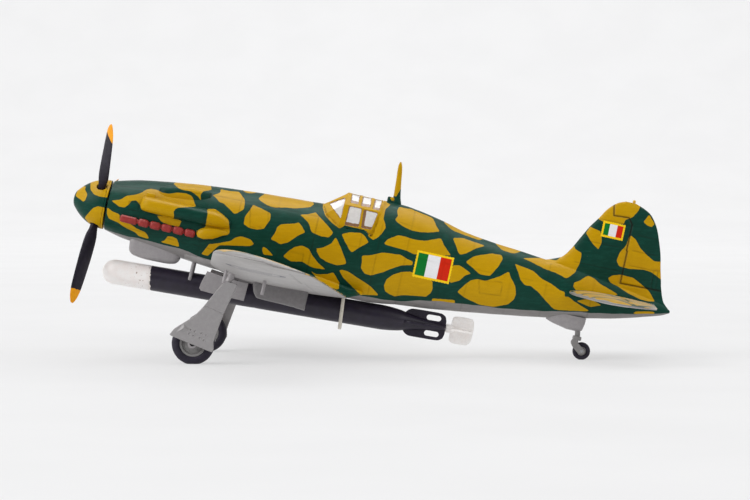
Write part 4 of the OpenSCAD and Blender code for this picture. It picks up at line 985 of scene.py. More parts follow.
for s, nm in ((-1, "left"), (1, "right")):
    P = Parts()
    V, dep = wing_surface(ys * s, 1.15, 0.0, 1)
    if s < 0:
        V = V[::-1]
    P.add(*grid(V, flip=True))
    te = np.stack([V[:, -1], V[:, -1] + [0, 0, -0.15]])
    P.add(*grid(te, flip=True))
    tip = V[0] if s < 0 else V[-1]
    low = tip.copy()
    low[:, 2] = wpt(np.array([s * HALF]), UW, -0.85)[0][:, 2] - 0.02
    P.add(*grid(np.stack([tip, low]), flip=s < 0))
    P.open = True

    def top_fields(Q, s=s):
        sd = cells_distance(Q[:, 0], Q[:, 1], TOP_SEEDS, 0.9)
        edge = Q[:, 0] - w_le(Q[:, 1])
        tip = np.minimum(np.abs(Q[:, 1]) - 78.6, 54.0 - Q[:, 0])
        return {"ochre": sd, "grey": np.maximum(0.45 - edge, tip)}

    piece(f"wing_upper_{nm}", P, ["camo_top"], "airframe", [f"wing_top_{nm}"], top_fields, angle=50)



def root_fillet(s):
    """Fairing between the side of the fuselage and the top of the wing, growing towards the trailing edge."""
    xs = np.linspace(42.0, 65.0, 90)
    zt = np.interp(xs, [42, 50, 56, 61, 65], [-4.3, -4.7, -5.2, -5.9, -6.35])
    out = np.interp(xs, [42, 50, 58, 62, 65], [1.2, 3.6, 5.6, 5.4, 3.0])
    hw = half_width(xs, zt) - 0.05
    a = np.linspace(0, np.pi / 2, 16)
    y = hw[:, None] + out[:, None] * (1 - np.cos(a))[None]
    yw = y[:, -1]
    c0, c1 = w_le(yw), w_te(yw)
    uu = np.clip((xs - c0) / (c1 - c0), 0.02, 1)
    c = c1 - c0
    rise = np.maximum(0, yw - 8) * DIH
    zl, ze = -6.7 + rise - 0.99 * yw / HALF, -8.28 + rise + 0.25 * yw / HALF
    zw = zl * (1 - uu) + ze * uu + 1.15 * ((0.165 - 0.04 * yw / HALF) * c * naca(uu) + 0.14 * uu) + 0.02
    zw = zw + np.clip(xs - 62, 0, 9) * 0.45
    z = zt[:, None] - (zt - zw)[:, None] * np.sin(a)[None]
    V = np.stack([np.repeat(xs[:, None], len(a), 1), s * y, z], -1)
    low = V[-1] * [1, 0, 1] + [0, 0, 0]
    low = V[-1].copy()
    low[:, 2] = V[-1, -1, 2] - 0.15
    return V, low


for s, nm in ((-1, "left"), (1, "right")):
    V, low = root_fillet(s)
    P = Parts().add(*grid(V, flip=s > 0))
    P.add(*grid(np.stack([V[-1], low]), flip=s > 0))
    edge = V[:, -1].copy()
    edge[:, 2] -= 0.25
    P.add(*grid(np.stack([V[:, -1], edge], 1), flip=s > 0))
    P.open = True
    piece(f"wing_fillet_{nm}", P, ["camo_plain"], "airframe", [],
          lambda Q: {**body_fields(Q), "grey": np.full(len(Q), -9.0)}, angle=50)

# ------------------------------------------------------------------ tailplane
TH = 28.5


def t_le(y):
    a = 108.2 + np.maximum(0, y - 2.4) * 0.2
    return a + (118.5 - a) * sup(np.clip((y - (TH - 8)) / 8, 0, 1), 2.2) * 0.93


def t_te(y):
    a = 126.6 - np.maximum(0, y - 2.4) * 0.075
    return a - (a - 119.5) * sup(np.clip((y - (TH - 8)) / 8, 0, 1), 2.2) * 0.85


def tailplane(side):
    y = np.unique(np.concatenate([np.arange(1.0, TH - 8, 0.4), TH - 8 + 8 * np.sin(np.linspace(0, np.pi / 2, 24))]))
    u = (1 - np.cos(np.linspace(0, np.pi, 110))) / 2
    u = 0.5 * u + 0.5 * np.linspace(0, 1, 110) ** 1.2
    Y, U = y[:, None], u[None, :]
    a, b = t_le(Y), t_te(Y)
    c = b - a
    x = a + c * U
    zm = 2.85 + (x - 108.2) * 0.055 - Y * 0.007
    th = 0.085 * c * (1 - 0.4 * sup(np.clip((Y - (TH - 8)) / 8, 0, 1), 2)) * naca(U) + 0.12 * U + 0.05
    lines = [([(119.3, 2.6), (119.3, 26.6)], 0.24, 0.2), ([(119.3, 26.6), (121, 27.4), (122.6, 28.2)], 0.2, 0.15),
             ([(125.0, 4.5), (125.0, 11)], 0.16, 0.1)] + [([(120.2, q), (125.4, q)], 0.16, 0.05) for q in (8, 12.5, 17, 21.5)] \
        + [([(110.5, q), (118.8, q)], 0.14, 0.04) for q in (9, 16)]
    dep = carve(x, np.broadcast_to(Y, x.shape), lines) * np.minimum(1, th / 0.4)
    up = np.stack([x, side * np.broadcast_to(Y, x.shape), zm + th - dep], -1)
    dn = np.stack([x, side * np.broadcast_to(Y, x.shape), zm - th + dep], -1)
    P = Parts()
    P.add(*grid(up, flip=side > 0))
    P.add(*grid(dn, flip=side < 0))
    P.add(*grid(np.stack([up[:, -1], dn[:, -1]]), flip=side < 0))
    P.add(*grid(np.stack([up[-1], dn[-1]]), flip=side > 0))
    P.add(*grid(np.stack([up[:, 0], dn[:, 0]]), flip=side > 0))
    P.open = True
    return P


TAIL_SEEDS = np.concatenate([np.array([(112.5, -6.5), (121.5, -4.8), (124.5, -13.5), (114.5, -15.5), (121.0, -21.5), (114.5, -24.0), (126.0, -24)]),
                             jittered(106, 130, 3, 30, 8.6, 31)])
for s, nm in ((-1, "left"), (1, "right")):
    def tail_fields(Q, s=s):
        x, y = Q[:, 0], np.abs(Q[:, 1])
        mid = 2.85 + (x - 108.2) * 0.055 - y * 0.007
        sd = cells_distance(x, Q[:, 1], TAIL_SEEDS, 0.8)
        return {"ochre": sd, "grey": mid + 0.18 - Q[:, 2] + 0.1 * np.sin(y * 1.3)}

    piece(f"tailplane_{nm}_surface", tailplane(s), ["camo_top"], "airframe", [f"tailplane_{nm}"],
          tail_fields, angle=50)

# ------------------------------------------------------------------ spinner and propeller
SPIN = np.array([(0, 0), (.06, .6), (.2, 1.2), (.5, 1.75), (.9, 2.2), (1.45, 2.8), (2, 3.3), (3, 4.05), (4, 4.6), (5, 4.95),
                 (6, 5.2), (7, 5.33)])
TURNS = [42.3, 162.3, 282.3]
LEAN = [0.6, -0.75, 0.0]


def blade_dir(deg):
    a = math.radians(deg)
    return np.array([0.0, -math.sin(a), math.cos(a)])


def spinner():
    t = np.linspace(0, 1, 120)
    # even steps along the profile
    r = interp(np.linspace(0, 1, len(SPIN)), SPIN[:, 1], t)
    x = interp(np.linspace(0, 1, len(SPIN)), SPIN[:, 0], t)
    a = np.linspace(0, 2 * np.pi, 288, endpoint=False)
    V = np.stack([np.repeat(x[:, None], len(a), 1), r[:, None] * np.cos(a), r[:, None] * np.sin(a)], -1)
    hole = np.full(V.shape[:2], -9.0)
    for d in TURNS:
        n = blade_dir(d)
        side = np.cross([1, 0, 0], n)
        along = V @ n
        q = np.hypot(V[..., 0] - 5.75, V @ side)
        hole = np.maximum(hole, np.where(along > 0, 1.12 - q, -9))
    sink = smooth(-0.02, 0.12, hole) * 1.1 + 0.05 * np.exp(-((hole + 0.25) / 0.2) ** 2) * -0.4
    k = np.clip(1 - sink / np.maximum(np.hypot(V[..., 1], V[..., 2]), 0.3), 0.2, 1)
    V[..., 1] *= k
    V[..., 2] *= k
    ring = V[-1]
    rim = ring * [1, 0.985, 0.985] + [0.0, 0, 0]
    inner = ring * [1, 0.86, 0.86]
    V = np.concatenate([V, [rim, inner, inner * [0, 1, 1] + [5.4, 0, 0]]], 0)
    P = Parts().add(*grid(V, wrap_v=True))
    P.open = True
    hole = np.concatenate([hole, np.full((3, len(a)), -9.0)])
    return P, hole.ravel()


def spinner_fields(Q):
    left = patches_distance(Q[:, 0], Q[:, 2], SPINNER_PATCHES)
    a = np.arctan2(Q[:, 2], Q[:, 1])
    far = cells_distance(Q[:, 0] * 1.0, a * 4.4, jittered(0, 8, -15, 15, 5.6, 3), 0.7)
    k = smooth(-0.6, 0.8, Q[:, 1])
    return {"ochre": left * (1 - k) + far * k, "grey": np.full(len(Q), -9.0)}


P, hole = spinner()
M = MATS["camo_plain"].copy()
M.name = "spinner_paint"
MATS["spinner_paint"] = M
nt = M.node_tree
bsdf = next(k for k in nt.nodes if k.type == "BSDF_PRINCIPLED")
src = bsdf.inputs["Base Color"].links[0].from_socket
# the sunk openings round the blade roots are coloured near black: painted shade inside the openings
mixn = nt.nodes.new("ShaderNodeMix")
mixn.data_type = "RGBA"
at = nt.nodes.new("ShaderNodeAttribute")
at.attribute_name = "hole"
mr = nt.nodes.new("ShaderNodeMapRange")
mr.inputs["From Min"].default_value, mr.inputs["From Max"].default_value = 0.04, 0.12
nt.links.new(at.outputs["Fac"], mr.inputs["Value"])
nt.links.new(mr.outputs[0], mixn.inputs[0])
nt.links.new(src, mixn.inputs[6])
mixn.inputs[7].default_value = lin(18, 15, 20)
nt.links.new(mixn.outputs[2], bsdf.inputs["Base Color"])
piece("spinner_cone", P, ["spinner_paint"], "propeller", ["spinner"], spinner_fields,
      extra={"hole": hole}, angle=45)

P = Parts().add(*revolve([(7.04, 0.85), (7.04, 5.24), (7.08, 5.31), (7.25, 5.33), (7.42, 5.31), (7.47, 5.2), (7.47, 0.85), (7.04, 0.85)], 128))
piece("spinner_back", P, ["camo_plain"], "propeller", ["spinner_backplate"], spinner_fields)

BLADE = np.array([[3.6, 1.7, 1.6, 60], [5.4, 1.75, 1.45, 58], [7.5, 2.8, 1.2, 50], [10, 3.5, .95, 41], [13, 3.9, .75, 35],
                  [16, 3.85, .6, 33], [18.5, 3.6, .5, 32], [20.5, 2.9, .42, 32], [21.7, 1.9, .34, 31], [22.4, .8, .22, 31]])
BLADE[:, 0] = 3.6 + (BLADE[:, 0] - 3.6) / 18.8 * 19.2


def blade(lean):
    rr = np.concatenate([np.linspace(3.6, 20.9, 46), 20.9 + 1.9 * np.sin(np.linspace(0.1, 1, 16) * np.pi / 2)])
    q = interp(BLADE[:, 0], BLADE[:, 1:], rr)
    a = np.linspace(0, 2 * np.pi, 40, endpoint=False)
    R = []
    for r, (c, t, b) in zip(rr, q):
        b = math.radians(b)
        cc = c / 2 * np.sign(np.cos(a)) * np.abs(np.cos(a)) ** 0.9
        tt = t / 2 * np.sin(a) * (1 + 0.25 * np.cos(a))
        R.append(np.stack([5.75 + lean * (r - 3.6) / 19.2 - cc * math.sin(b) + tt * math.cos(b), cc * math.cos(b) + tt * math.sin(b), np.full(len(a), r)], -1))
    return loft(np.array(R))


P = Parts()
tips = []
for d, lean in zip(TURNS, LEAN):
    c, s = math.cos(math.radians(d)), math.sin(math.radians(d))
    turn = lambda V, c=c, s=s: np.stack([V[:, 0], V[:, 1] * c - V[:, 2] * s, V[:, 1] * s + V[:, 2] * c], -1)
    V, F = blade(lean)
    P.add(V, F, to=turn)
    tips.append(V[:, 2] - 19.6 + 0.3 * (V[:, 0] - 5.75))
    V, F = rod([5.75, 0, 1.5], [5.75, 0, 4.3], 1.0)
    P.add(V, F, to=turn)
    tips.append(np.full(len(V), -9.0))
V, F = revolve([(3.62, 0.82), (3.62, 2.0), (3.75, 2.18), (6.8, 2.18), (6.95, 2.05), (6.95, 0.82), (3.62, 0.82)], 64)
P.add(V, F)
tips.append(np.full(len(V), -9.0))
piece("propeller_blades", P, ["blade"], "propeller", ["propeller"], extra={"tip": np.concatenate(tips)})

# ------------------------------------------------------------------ cowling pieces
for s, nm in ((-1, "left"), (1, "right")):
    P = Parts()
    mir = lambda V, s=s: V * [1, -s, 1]
    def add_stub(p, q, r):
        V, F = rbox(p, q, r, 4)
        # each stub swells aft and its mouth is cut back a little
        t = (V[:, 0] - p[0]) / (q[0] - p[0])
        V[:, 1] += 0.12 * (1 - t) * (V[:, 1] < -6.6)
        V[:, 2] += -0.08 * t
        P.add(V, F, to=mir)
    add_stub((11.25, -7.2, -2.7), (14.9, -5.3, -1.15), 0.42)
    for k in range(5):
        x0 = 15.22 + 2.52 * k
        add_stub((x0, -7.6, -2.75), (x0 + 2.26, -5.3, -1.12), 0.55)
    P.add(*rbox((11.7, -6.95, -2.35), (27.6, -5.4, -1.5), 0.2), to=mir)
    piece(f"exhaust_stubs_{nm}", P, ["exhaust"], "airframe", [f"exhaust_{nm}"], angle=60)

INT = np.array([[15.0, 3.3, .9, 6.85], [15.25, 3.55, .7, 7.3], [15.7, 3.75, .55, 7.7], [17, 3.8, .4, 8.1], [22, 3.8, .35, 8.3],
                [28, 3.8, .2, 8.3], [31, 3.7, .3, 8.1], [33.2, 3.05, .4, 7.7], [34.4, 2.4, .6, 7.15]])


def bulge_ring(x, up, lo, out, inner=-5.2, n=30):
    a = np.linspace(-np.pi / 2, np.pi / 2, n)
    h, c = (up - lo) / 2, (up + lo) / 2
    w = out - abs(inner)
    z = c + h * np.sign(np.sin(a)) * np.abs(np.sin(a)) ** 0.72
    y = inner - w * np.abs(np.cos(a)) ** 0.62
    return np.stack([np.full(n, x), y, z], -1)


xs = np.unique(np.concatenate([np.linspace(15.0, 17, 18), np.arange(17, 31, 0.35), np.linspace(31, 34.4, 22)]))
q = interp(INT[:, 0], INT[:, 1:], xs)
R = [bulge_ring(x, *r) for x, r in zip(xs, q)]
mouth = bulge_ring(15.0, 2.95, 1.2, 6.45)
deep = mouth + [0.9, 0, 0]
P = Parts().add(*grid(np.array([deep, mouth] + R)))
c = R[-1].mean(0)
V = np.vstack([R[-1], c])
P.add(V, [(j, j + 1, len(V) - 1) for j in range(len(V) - 2)])
P.add(*rbox((15.6, -6.4, 3.55), (17.6, -5.6, 4.6), 0.3))
P.add(*loft([np.stack([np.full(20, x), -6.45 - h * 0.55 - 0.75 * h * np.cos(a_), -1.0 + dz + 1.35 * h * np.sin(a_)], -1)
             for x, h, dz in ((27.6, 0.25, -0.9), (28.2, 0.8, -0.75), (29.5, 1.0, -0.4), (31.5, 0.9, 0.0), (33.4, 0.6, 0.4), (34.4, 0.2, 0.6))
             for a_ in [np.linspace(0, 2 * np.pi, 20, endpoint=False)]]))
P.open = True
piece("intake_trunk", P, ["camo_plain"], "airframe", ["supercharger_intake"], body_fields, angle=45)

P = Parts()
for s in (-1, 1):
    xs = np.concatenate([np.linspace(18, 19.5, 10), np.linspace(19.7, 27, 30), np.linspace(27.2, 29, 12)])
    hq = interp([18, 19.5, 22, 25, 27, 29], [0.1, 0.7, 1.0, 1.0, 0.75, 0.15], xs)
    a = np.linspace(0, 2 * np.pi, 36, endpoint=False)
    zz = np.interp(xs, [18, 29], [6.0, 7.2])
    R = [np.stack([np.full(36, x), s * 4.1 + (1.3 * math.sqrt(h) + 0.08) * np.cos(a), z - 0.9 + (h * 0.9 + 0.98) * np.sin(a)], -1)
         for x, h, z in zip(xs, hq, zz)]
    P.add(*loft(R))
piece("gun_bulges", P, ["camo_plain"], "airframe", ["gun_fairings"], body_fields, angle=60)

OIL = np.array([[13.9, -7.3, 1.9], [14.0, -8.2, 2.45], [14.2, -8.7, 2.7], [15.2, -9.35, 3.0], [18.5, -9.7, 3.1], [22, -9.65, 3.0],
                [24.2, -9.3, 2.7], [24.8, -8.75, 2.4], [25, -8.4, 2.2]])


def scoop(T, yc, ztop, xs, pe, pz, n=46):
    q = interp(T[:, 0], T[:, 1:], xs)
    a = np.pi + np.linspace(0, np.pi, n)
    R = [np.stack([np.full(n, x), yc + w * np.sign(np.cos(a)) * np.abs(np.cos(a)) ** pe, ztop + (b - ztop) * np.abs(np.sin(a)) ** pz], -1)
         for x, (b, w) in zip(xs, q)]
    return R


def scoop_piece(T, yc, ztop, xs, pe, pz, mouth_in):
    R = scoop(T, yc, ztop, xs, pe, pz)
    P = Parts()
    first, last = R[0], R[-1]
    c0 = np.array([first[0, 0], yc, (ztop + first[:, 2].min()) / 2])
    lip = c0 + (first - c0) * [1, 0.86, 0.8]
    lip2 = lip + [mouth_in, 0, 0]
    c1 = np.array([last[0, 0], yc, (ztop + last[:, 2].min()) / 2])
    lip3 = c1 + (last - c1) * [1, 0.86, 0.8]
    lip4 = lip3 - [mouth_in, 0, 0]
    rings = [lip2, lip] + R + [lip3, lip4]
    P.add(*grid(np.array(rings), flip=False))
    for ring, fl in ((lip2, 0), (lip4, 1)):
        V = np.vstack([ring, ring.mean(0)])
        P.add(V, [(j, j + 1, len(V) - 1)[::1 if fl else -1] for j in range(len(V) - 2)])
    P.open = True
    return P


xs = np.unique(np.concatenate([np.linspace(13.9, 15.2, 16), np.arange(15.4, 22, 0.45), np.linspace(22, 25, 18)]))
P = scoop_piece(OIL, 0, -5.6, xs, 0.6, 0.5, 0.75)
piece("oil_scoop", P, ["grey"], "airframe", ["oil_cooler"], angle=50)

RAD = np.array([[42.1, -9.6, 2.4], [42.6, -11.0, 2.9], [43.6, -12.1, 3.0], [49.6, -12.3, 3.0], [51.5, -12.4, 3.0], [53.8, -12.6, 2.9]])
for s, nm in ((-1, "left"), (1, "right")):
    xs = np.unique(np.concatenate([np.linspace(42.1, 43.6, 16), np.arange(43.9, 51.3, 0.5), [51.42, 51.5, 51.58], np.linspace(52, 53.8, 8)]))
    P = scoop_piece(RAD, s * 12.4, -7.0, xs, 0.45, 0.4, 1.0)
    for k, V in enumerate(P.v):
        if k == 0:
            V[:, 2] += 0.07 * np.exp(-((V[:, 0] - 51.5) / 0.1) ** 2) * (V[:, 2] < -9)
            V[:, 1] -= (V[:, 1] - s * 12.4) * 0.03 * np.exp(-((V[:, 0] - 51.5) / 0.1) ** 2)
    # the radiator boxes take the darker grey: painted shade under the wing
    piece(f"radiator_box_{nm}", P, ["grey_shade"], "airframe", [f"radiator_{nm}"], angle=50)

# ------------------------------------------------------------------ canopy
W0, W1, W2 = (52.9, 1.7, 10.0), (53.5, 3.7, 8.1), (56.9, 5.2, 5.6)
A1, A0 = (57.3, 4.1, 11.0), (57.6, 1.75, 13.5)
R2, R1, R0 = (64.9, 5.1, 5.0), (65.2, 3.85, 11.0), (65.2, 1.7, 13.4)
RAISE = 0.13


def facet(P, corners, panes, s, frame_mat=0, pane_mat=1, inward=0.0):
    """A flat or slightly twisted facet of the hood: corners a, b, c, d in order, panes in side elevation."""
    a, b, c, d = [np.array(q, float) for q in corners]
    nu, nv = 96, 72
    U, V = np.meshgrid(np.linspace(0, 1, nu), np.linspace(0, 1, nv), indexing="ij")
    U, V = U[..., None], V[..., None]
    S = (a * (1 - U) + b * U) * (1 - V) + (d * (1 - U) + c * U) * V
    nrm = np.cross(b - a, d - a)
    nrm /= np.linalg.norm(nrm)
    if nrm[1] < -1e-6 or (abs(nrm[1]) < 1e-6 and nrm[2] < 0):
        nrm = -nrm
    if abs(nrm[1]) < 0.2 and nrm[2] < 0:
        nrm = -nrm
    sd = np.full(S.shape[:2], -4.0)
    rim = sd.copy()
    # rim: each pane outline shifted by (du, dv), where the far side's frames show through the glass; the pane material
    # paints this band as shade
    for (du, dv), pane in panes:
        u, v = S[..., 0], S[..., 2]
        one = poly_distance(u, v, rounded(pane, 0.06, 2))
        sd = np.maximum(sd, one)
        rim = np.maximum(rim, np.minimum(one, poly_distance(u - du, v - dv, rounded(pane, 0.06, 2))))
    # the painted frame stands proud of the glazing
    S = S + nrm * (-RAISE * smooth(-0.03, 0.05, sd))[..., None]
    S[..., 1] *= s
    C = (sd[:-1, :-1] + sd[1:, :-1] + sd[1:, 1:] + sd[:-1, 1:]) / 4
    inside_hood = poly_distance(*(cell_centres(S)[..., k].ravel() for k in (0, 2)), HOOD_EDGE).reshape(C.shape) > 0
    fl = s > 0
    Vv, Ff = grid(S, flip=fl, keep=(C < 0.0) & inside_hood)
    P.add(Vv, Ff, frame_mat)
    P.fields.append((S.reshape(-1, 3).shape[0], rim.ravel()))
    return S, rim, C, fl, inside_hood


HOOD_EDGE = np.array([(52.6, 10.8), (53.0, 9.35), (53.7, 8.05), (56.9, 6.0), (63.0, 6.3), (64.5, 5.4), (65.35, 9.0), (65.4, 14.6), (52.6, 14.6)])
L1 = [(58.3, 10.9), (61.12, 10.92), (61.22, 6.85), (58.16, 6.68)]
L2 = [(61.5, 10.78), (64.68, 10.72), (63.95, 6.9), (61.75, 6.8)]
U1 = [(58.28, 13.66), (60.12, 13.68), (60.1, 11.6), (58.38, 11.62)]
U2 = [(60.68, 13.66), (62.6, 13.68), (62.78, 11.5), (60.75, 11.42)]
U3 = [(63.42, 13.6), (64.95, 13.55), (64.74, 11.26), (63.28, 11.32)]
TRI = [(53.9, 10.5), (57.15, 12.55), (57.15, 7.7)]
frames, glass = Parts(), Parts()
frames.fields, glass.fields = [], []
for s in (-1, 1):
    for corners, panes in (
            ((W2, R2, R1, A1), [((0.1, 0.62), L1), ((0.48, 0.5), L2)]),
            ((A1, R1, R0, A0), [((0.05, 0.55), U1), ((0.12, 0.55), U2), ((0.25, 0.45), U3)]),
            ((W1, A1, A0, W0), [((0.0, -0.15), TRI)]),
            ((W1, W2, A1, A1), [((0.0, -0.15), TRI)])):
        S, sd, C, fl, ih = facet(frames, corners, panes, s)
        Vv, Ff = grid(S, flip=fl, keep=(C >= 0.0) & ih)
        glass.add(Vv, Ff, 0)
        glass.fields.append((len(Vv), sd.ravel()))
# top and front between the two sides
for (pa, pb), panes in (
        ((A0, R0), [("top", [(58.35, -1.3), (60.0, -1.3), (60.0, 1.3), (58.35, 1.3)]), ("top", [(60.8, -1.3), (62.6, -1.3), (62.6, 1.3), (60.8, 1.3)]),
                    ("top", [(63.35, -1.3), (64.75, -1.3), (64.75, 1.3), (63.35, 1.3)])]),
        ((W0, A0), [("top", [(53.6, -1.2), (57.1, -1.25), (57.1, 1.25), (53.6, 1.2)])])):
    a, b = np.array(pa), np.array(pb)
    corners = (a * [1, -1, 1], b * [1, -1, 1], b, a)
    nu, nv = 96, 60
    U, V = np.meshgrid(np.linspace(0, 1, nu), np.linspace(-1, 1, nv), indexing="ij")
    S = a * (1 - U[..., None]) + b * U[..., None]
    S[..., 1] *= V
    S[..., 2] += 0.16 * (1 - V**2)
    sd = np.full(S.shape[:2], -4.0)
    for _, pane in panes:
        sd = np.maximum(sd, poly_distance(S[..., 0], S[..., 1], rounded(pane, 0.06, 2)))
    S[..., 2] -= RAISE * smooth(-0.03, 0.05, sd)
    C = (sd[:-1, :-1] + sd[1:, :-1] + sd[1:, 1:] + sd[:-1, 1:]) / 4
    for part, keep in ((frames, C < 0), (glass, C >= 0)):
        Vv, Ff = grid(S, flip=True, keep=keep)
        part.add(Vv, Ff, 0)
        part.fields.append((len(Vv), sd.ravel()))
# rear edge hoop
hoop = [(65.1, -5.05, 5.4), (65.3, -3.85, 11.0), (65.3, -1.7, 13.38), (65.3, 1.7, 13.38), (65.3, 3.85, 11.0), (65.1, 5.05, 5.4)]
t = np.linspace(0, 1, 60)
hp = interp(np.linspace(0, 1, 6), np.array(hoop), t)
ring = []
for k, p in enumerate(hp):
    c = np.array([65.0, 0, 8.0])
    d = (p - c) * [0, 1, 1]
    d /= np.linalg.norm(d)
    ring.append([p - d * 0.5 + [-0.25, 0, 0], p + d * 0.0 + [-0.25, 0, 0], p + d * 0.0 + [0.12, 0, 0], p - d * 0.5 + [0.12, 0, 0]])
Vv, Ff = loft(np.array(ring))
frames.add(Vv, Ff, 0)
frames.fields.append((len(Vv), np.full(len(Vv), -1.0)))
frames.open = glass.open = True


def hood_fields(Q):
    sill = np.interp(Q[:, 0], [52, 57.2, 58.2, 62.6, 63.6, 66], [-3, 5.2, 6.62, 6.55, 5.0, 4.5])
    return {"ochre": Q[:, 2] - sill, "grey": np.full(len(Q), -9.0)}


piece("hood_frames", frames, ["camo_plain"], "airframe", ["canopy"], hood_fields,
      extra={"rim": np.concatenate([f for _, f in frames.fields])}, angle=40)
piece("hood_panes", glass, ["pane"], "airframe", ["canopy"], extra={"rim": np.concatenate([f for _, f in glass.fields])}, angle=40)

# painted sill between the foot of the hood and the side of the fuselage
for s, nm in ((-1, "left"), (1, "right")):
    xs = np.linspace(53.3, 65.0, 80)
    ze = np.interp(xs, [53.0, 53.7, 56.9, 63.0, 64.5, 65.35], [9.35, 8.05, 6.0, 6.3, 5.4, 5.2]) - 0.1
    yi = np.interp(xs, [53.0, 53.5, 56.9, 65.0], [3.0, 3.4, 4.8, 4.75])
    yo = np.maximum(half_width(xs, ze) - 0.04, yi + 0.05)
    k = np.linspace(0, 1, 5)[None]
    V = np.stack([np.repeat(xs[:, None], 5, 1), s * (yi[:, None] * (1 - k) + yo[:, None] * k), np.repeat(ze[:, None], 5, 1)], -1)
    P = Parts().add(*grid(V, flip=s < 0))
    low = V[::1].copy()
    low[..., 2] -= 0.25
    P.add(*grid(low, flip=s > 0))
    P.open = True
    piece(f"hood_sill_{nm}", P, ["camo_plain"], "airframe", [], hood_fields, angle=50)

# ------------------------------------------------------------------ mast
MAST = np.array([[13.1, 66.6, 69.2, .55], [13.9, 67, 69, .5], [14.6, 67.1, 68.75, .42], [18, 66.95, 68.15, .33],
                 [21.5, 66.75, 67.6, .24], [22.4, 66.95, 67.25, .12]])
zz = np.concatenate([np.linspace(13.1, 21.5, 40), 21.5 + 0.9 * np.sin(np.linspace(0.1, 1, 10) * np.pi / 2)])
q = interp(MAST[:, 0], MAST[:, 1:], zz)
a = np.linspace(0, 2 * np.pi, 36, endpoint=False)
R = [np.stack([(x0 + x1) / 2 + (x1 - x0) / 2 * np.cos(a), h * np.sin(a), np.full(36, z)], -1) for z, (x0, x1, h) in zip(zz, q)]
P = Parts().add(*loft(R))
P.add(*rbox((65.95, -0.58, 12.95), (67.3, 0.58, 14.65), 0.3, 4))


def mast_fields(Q):
    x, z = Q[:, 0], Q[:, 2]
    return {"ochre": np.maximum((z - 15.2) * 0.8 - np.maximum(0, (x - 67.75) * 2.6 - (z - 15.5) * 0.25) * (z < 18.6) * 1.3 + 0.2,
                                0.55 - np.hypot(x - 66.9, z - 14.2)),
            "grey": np.full(len(Q), -9.0)}


piece("mast", P, ["camo_plain"], "airframe", ["antenna_mast"], mast_fields, angle=60)

# ------------------------------------------------------------------ under the wing
for s, nm in ((-1, "left"), (1, "right")):
    mir = lambda V, s=s: V * [1, -s, 1]
    door = [(31.8, -9.05), (31.0, -11.9), (30.9, -12.9), (31.3, -13.35), (34, -13.5), (38, -13.55), (40.7, -13.6), (40.9, -9.75), (36, -9.55)]
    P = Parts().add(*flat(door, 0.26, 0.09), to=lambda V, s=s: mir(xz(-7.475)(V)))
    rib = [(32.3, -10.0), (31.9, -12.6), (39.6, -12.9), (39.7, -10.5)]
    P.add(*flat(rib, 0.06, 0.05), to=lambda V, s=s: mir(xz(-7.68)(V)))
    piece(f"bay_door_{nm}", P, ["grey"], "airframe", [f"inner_door_{nm}"], angle=40)

P = Parts()
for s in (-1, 1):
    P.add(*rod((36.95, s * 30, -6.95), (36.8, s * 30, -9.7), 0.36))
    P.add(*rod((45.0, s * 30, -7.45), (45.0, s * 30, -10.4), 0.36))
piece("mooring_pins", P, ["grey"], "airframe", ["wing_pins"])

# ------------------------------------------------------------------ main gear
WHEEL_Y = 20.8
MAIN = craft(27.3, 4.45 - 0.19)
LEG_Y = -(WHEEL_Y + 1.35 + 0.7)
COVER = [(36.7, -9.5), (34.35, -14), (33.3, -16), (32.05, -18), (30.4, -19.6), (28.6, -21.3), (27.8, -22.85),
         (32.5, -23.7), (37.2, -24.5), (37.4, -23.8), (37, -22.2), (37.95, -15.9), (38.75, -12.7), (39.5, -9.6)]


DENTS = [(32.03, -20.79), (32.91, -20.96), (34.28, -21.14), (35.34, -21.27), (31.87, -21.71), (32.76, -21.90), (34.14, -22.15), (35.09, -22.36)]


def soften(poly, k=0.12, times=2):
    return [tuple(p) for p in rounded(poly, k, times)]


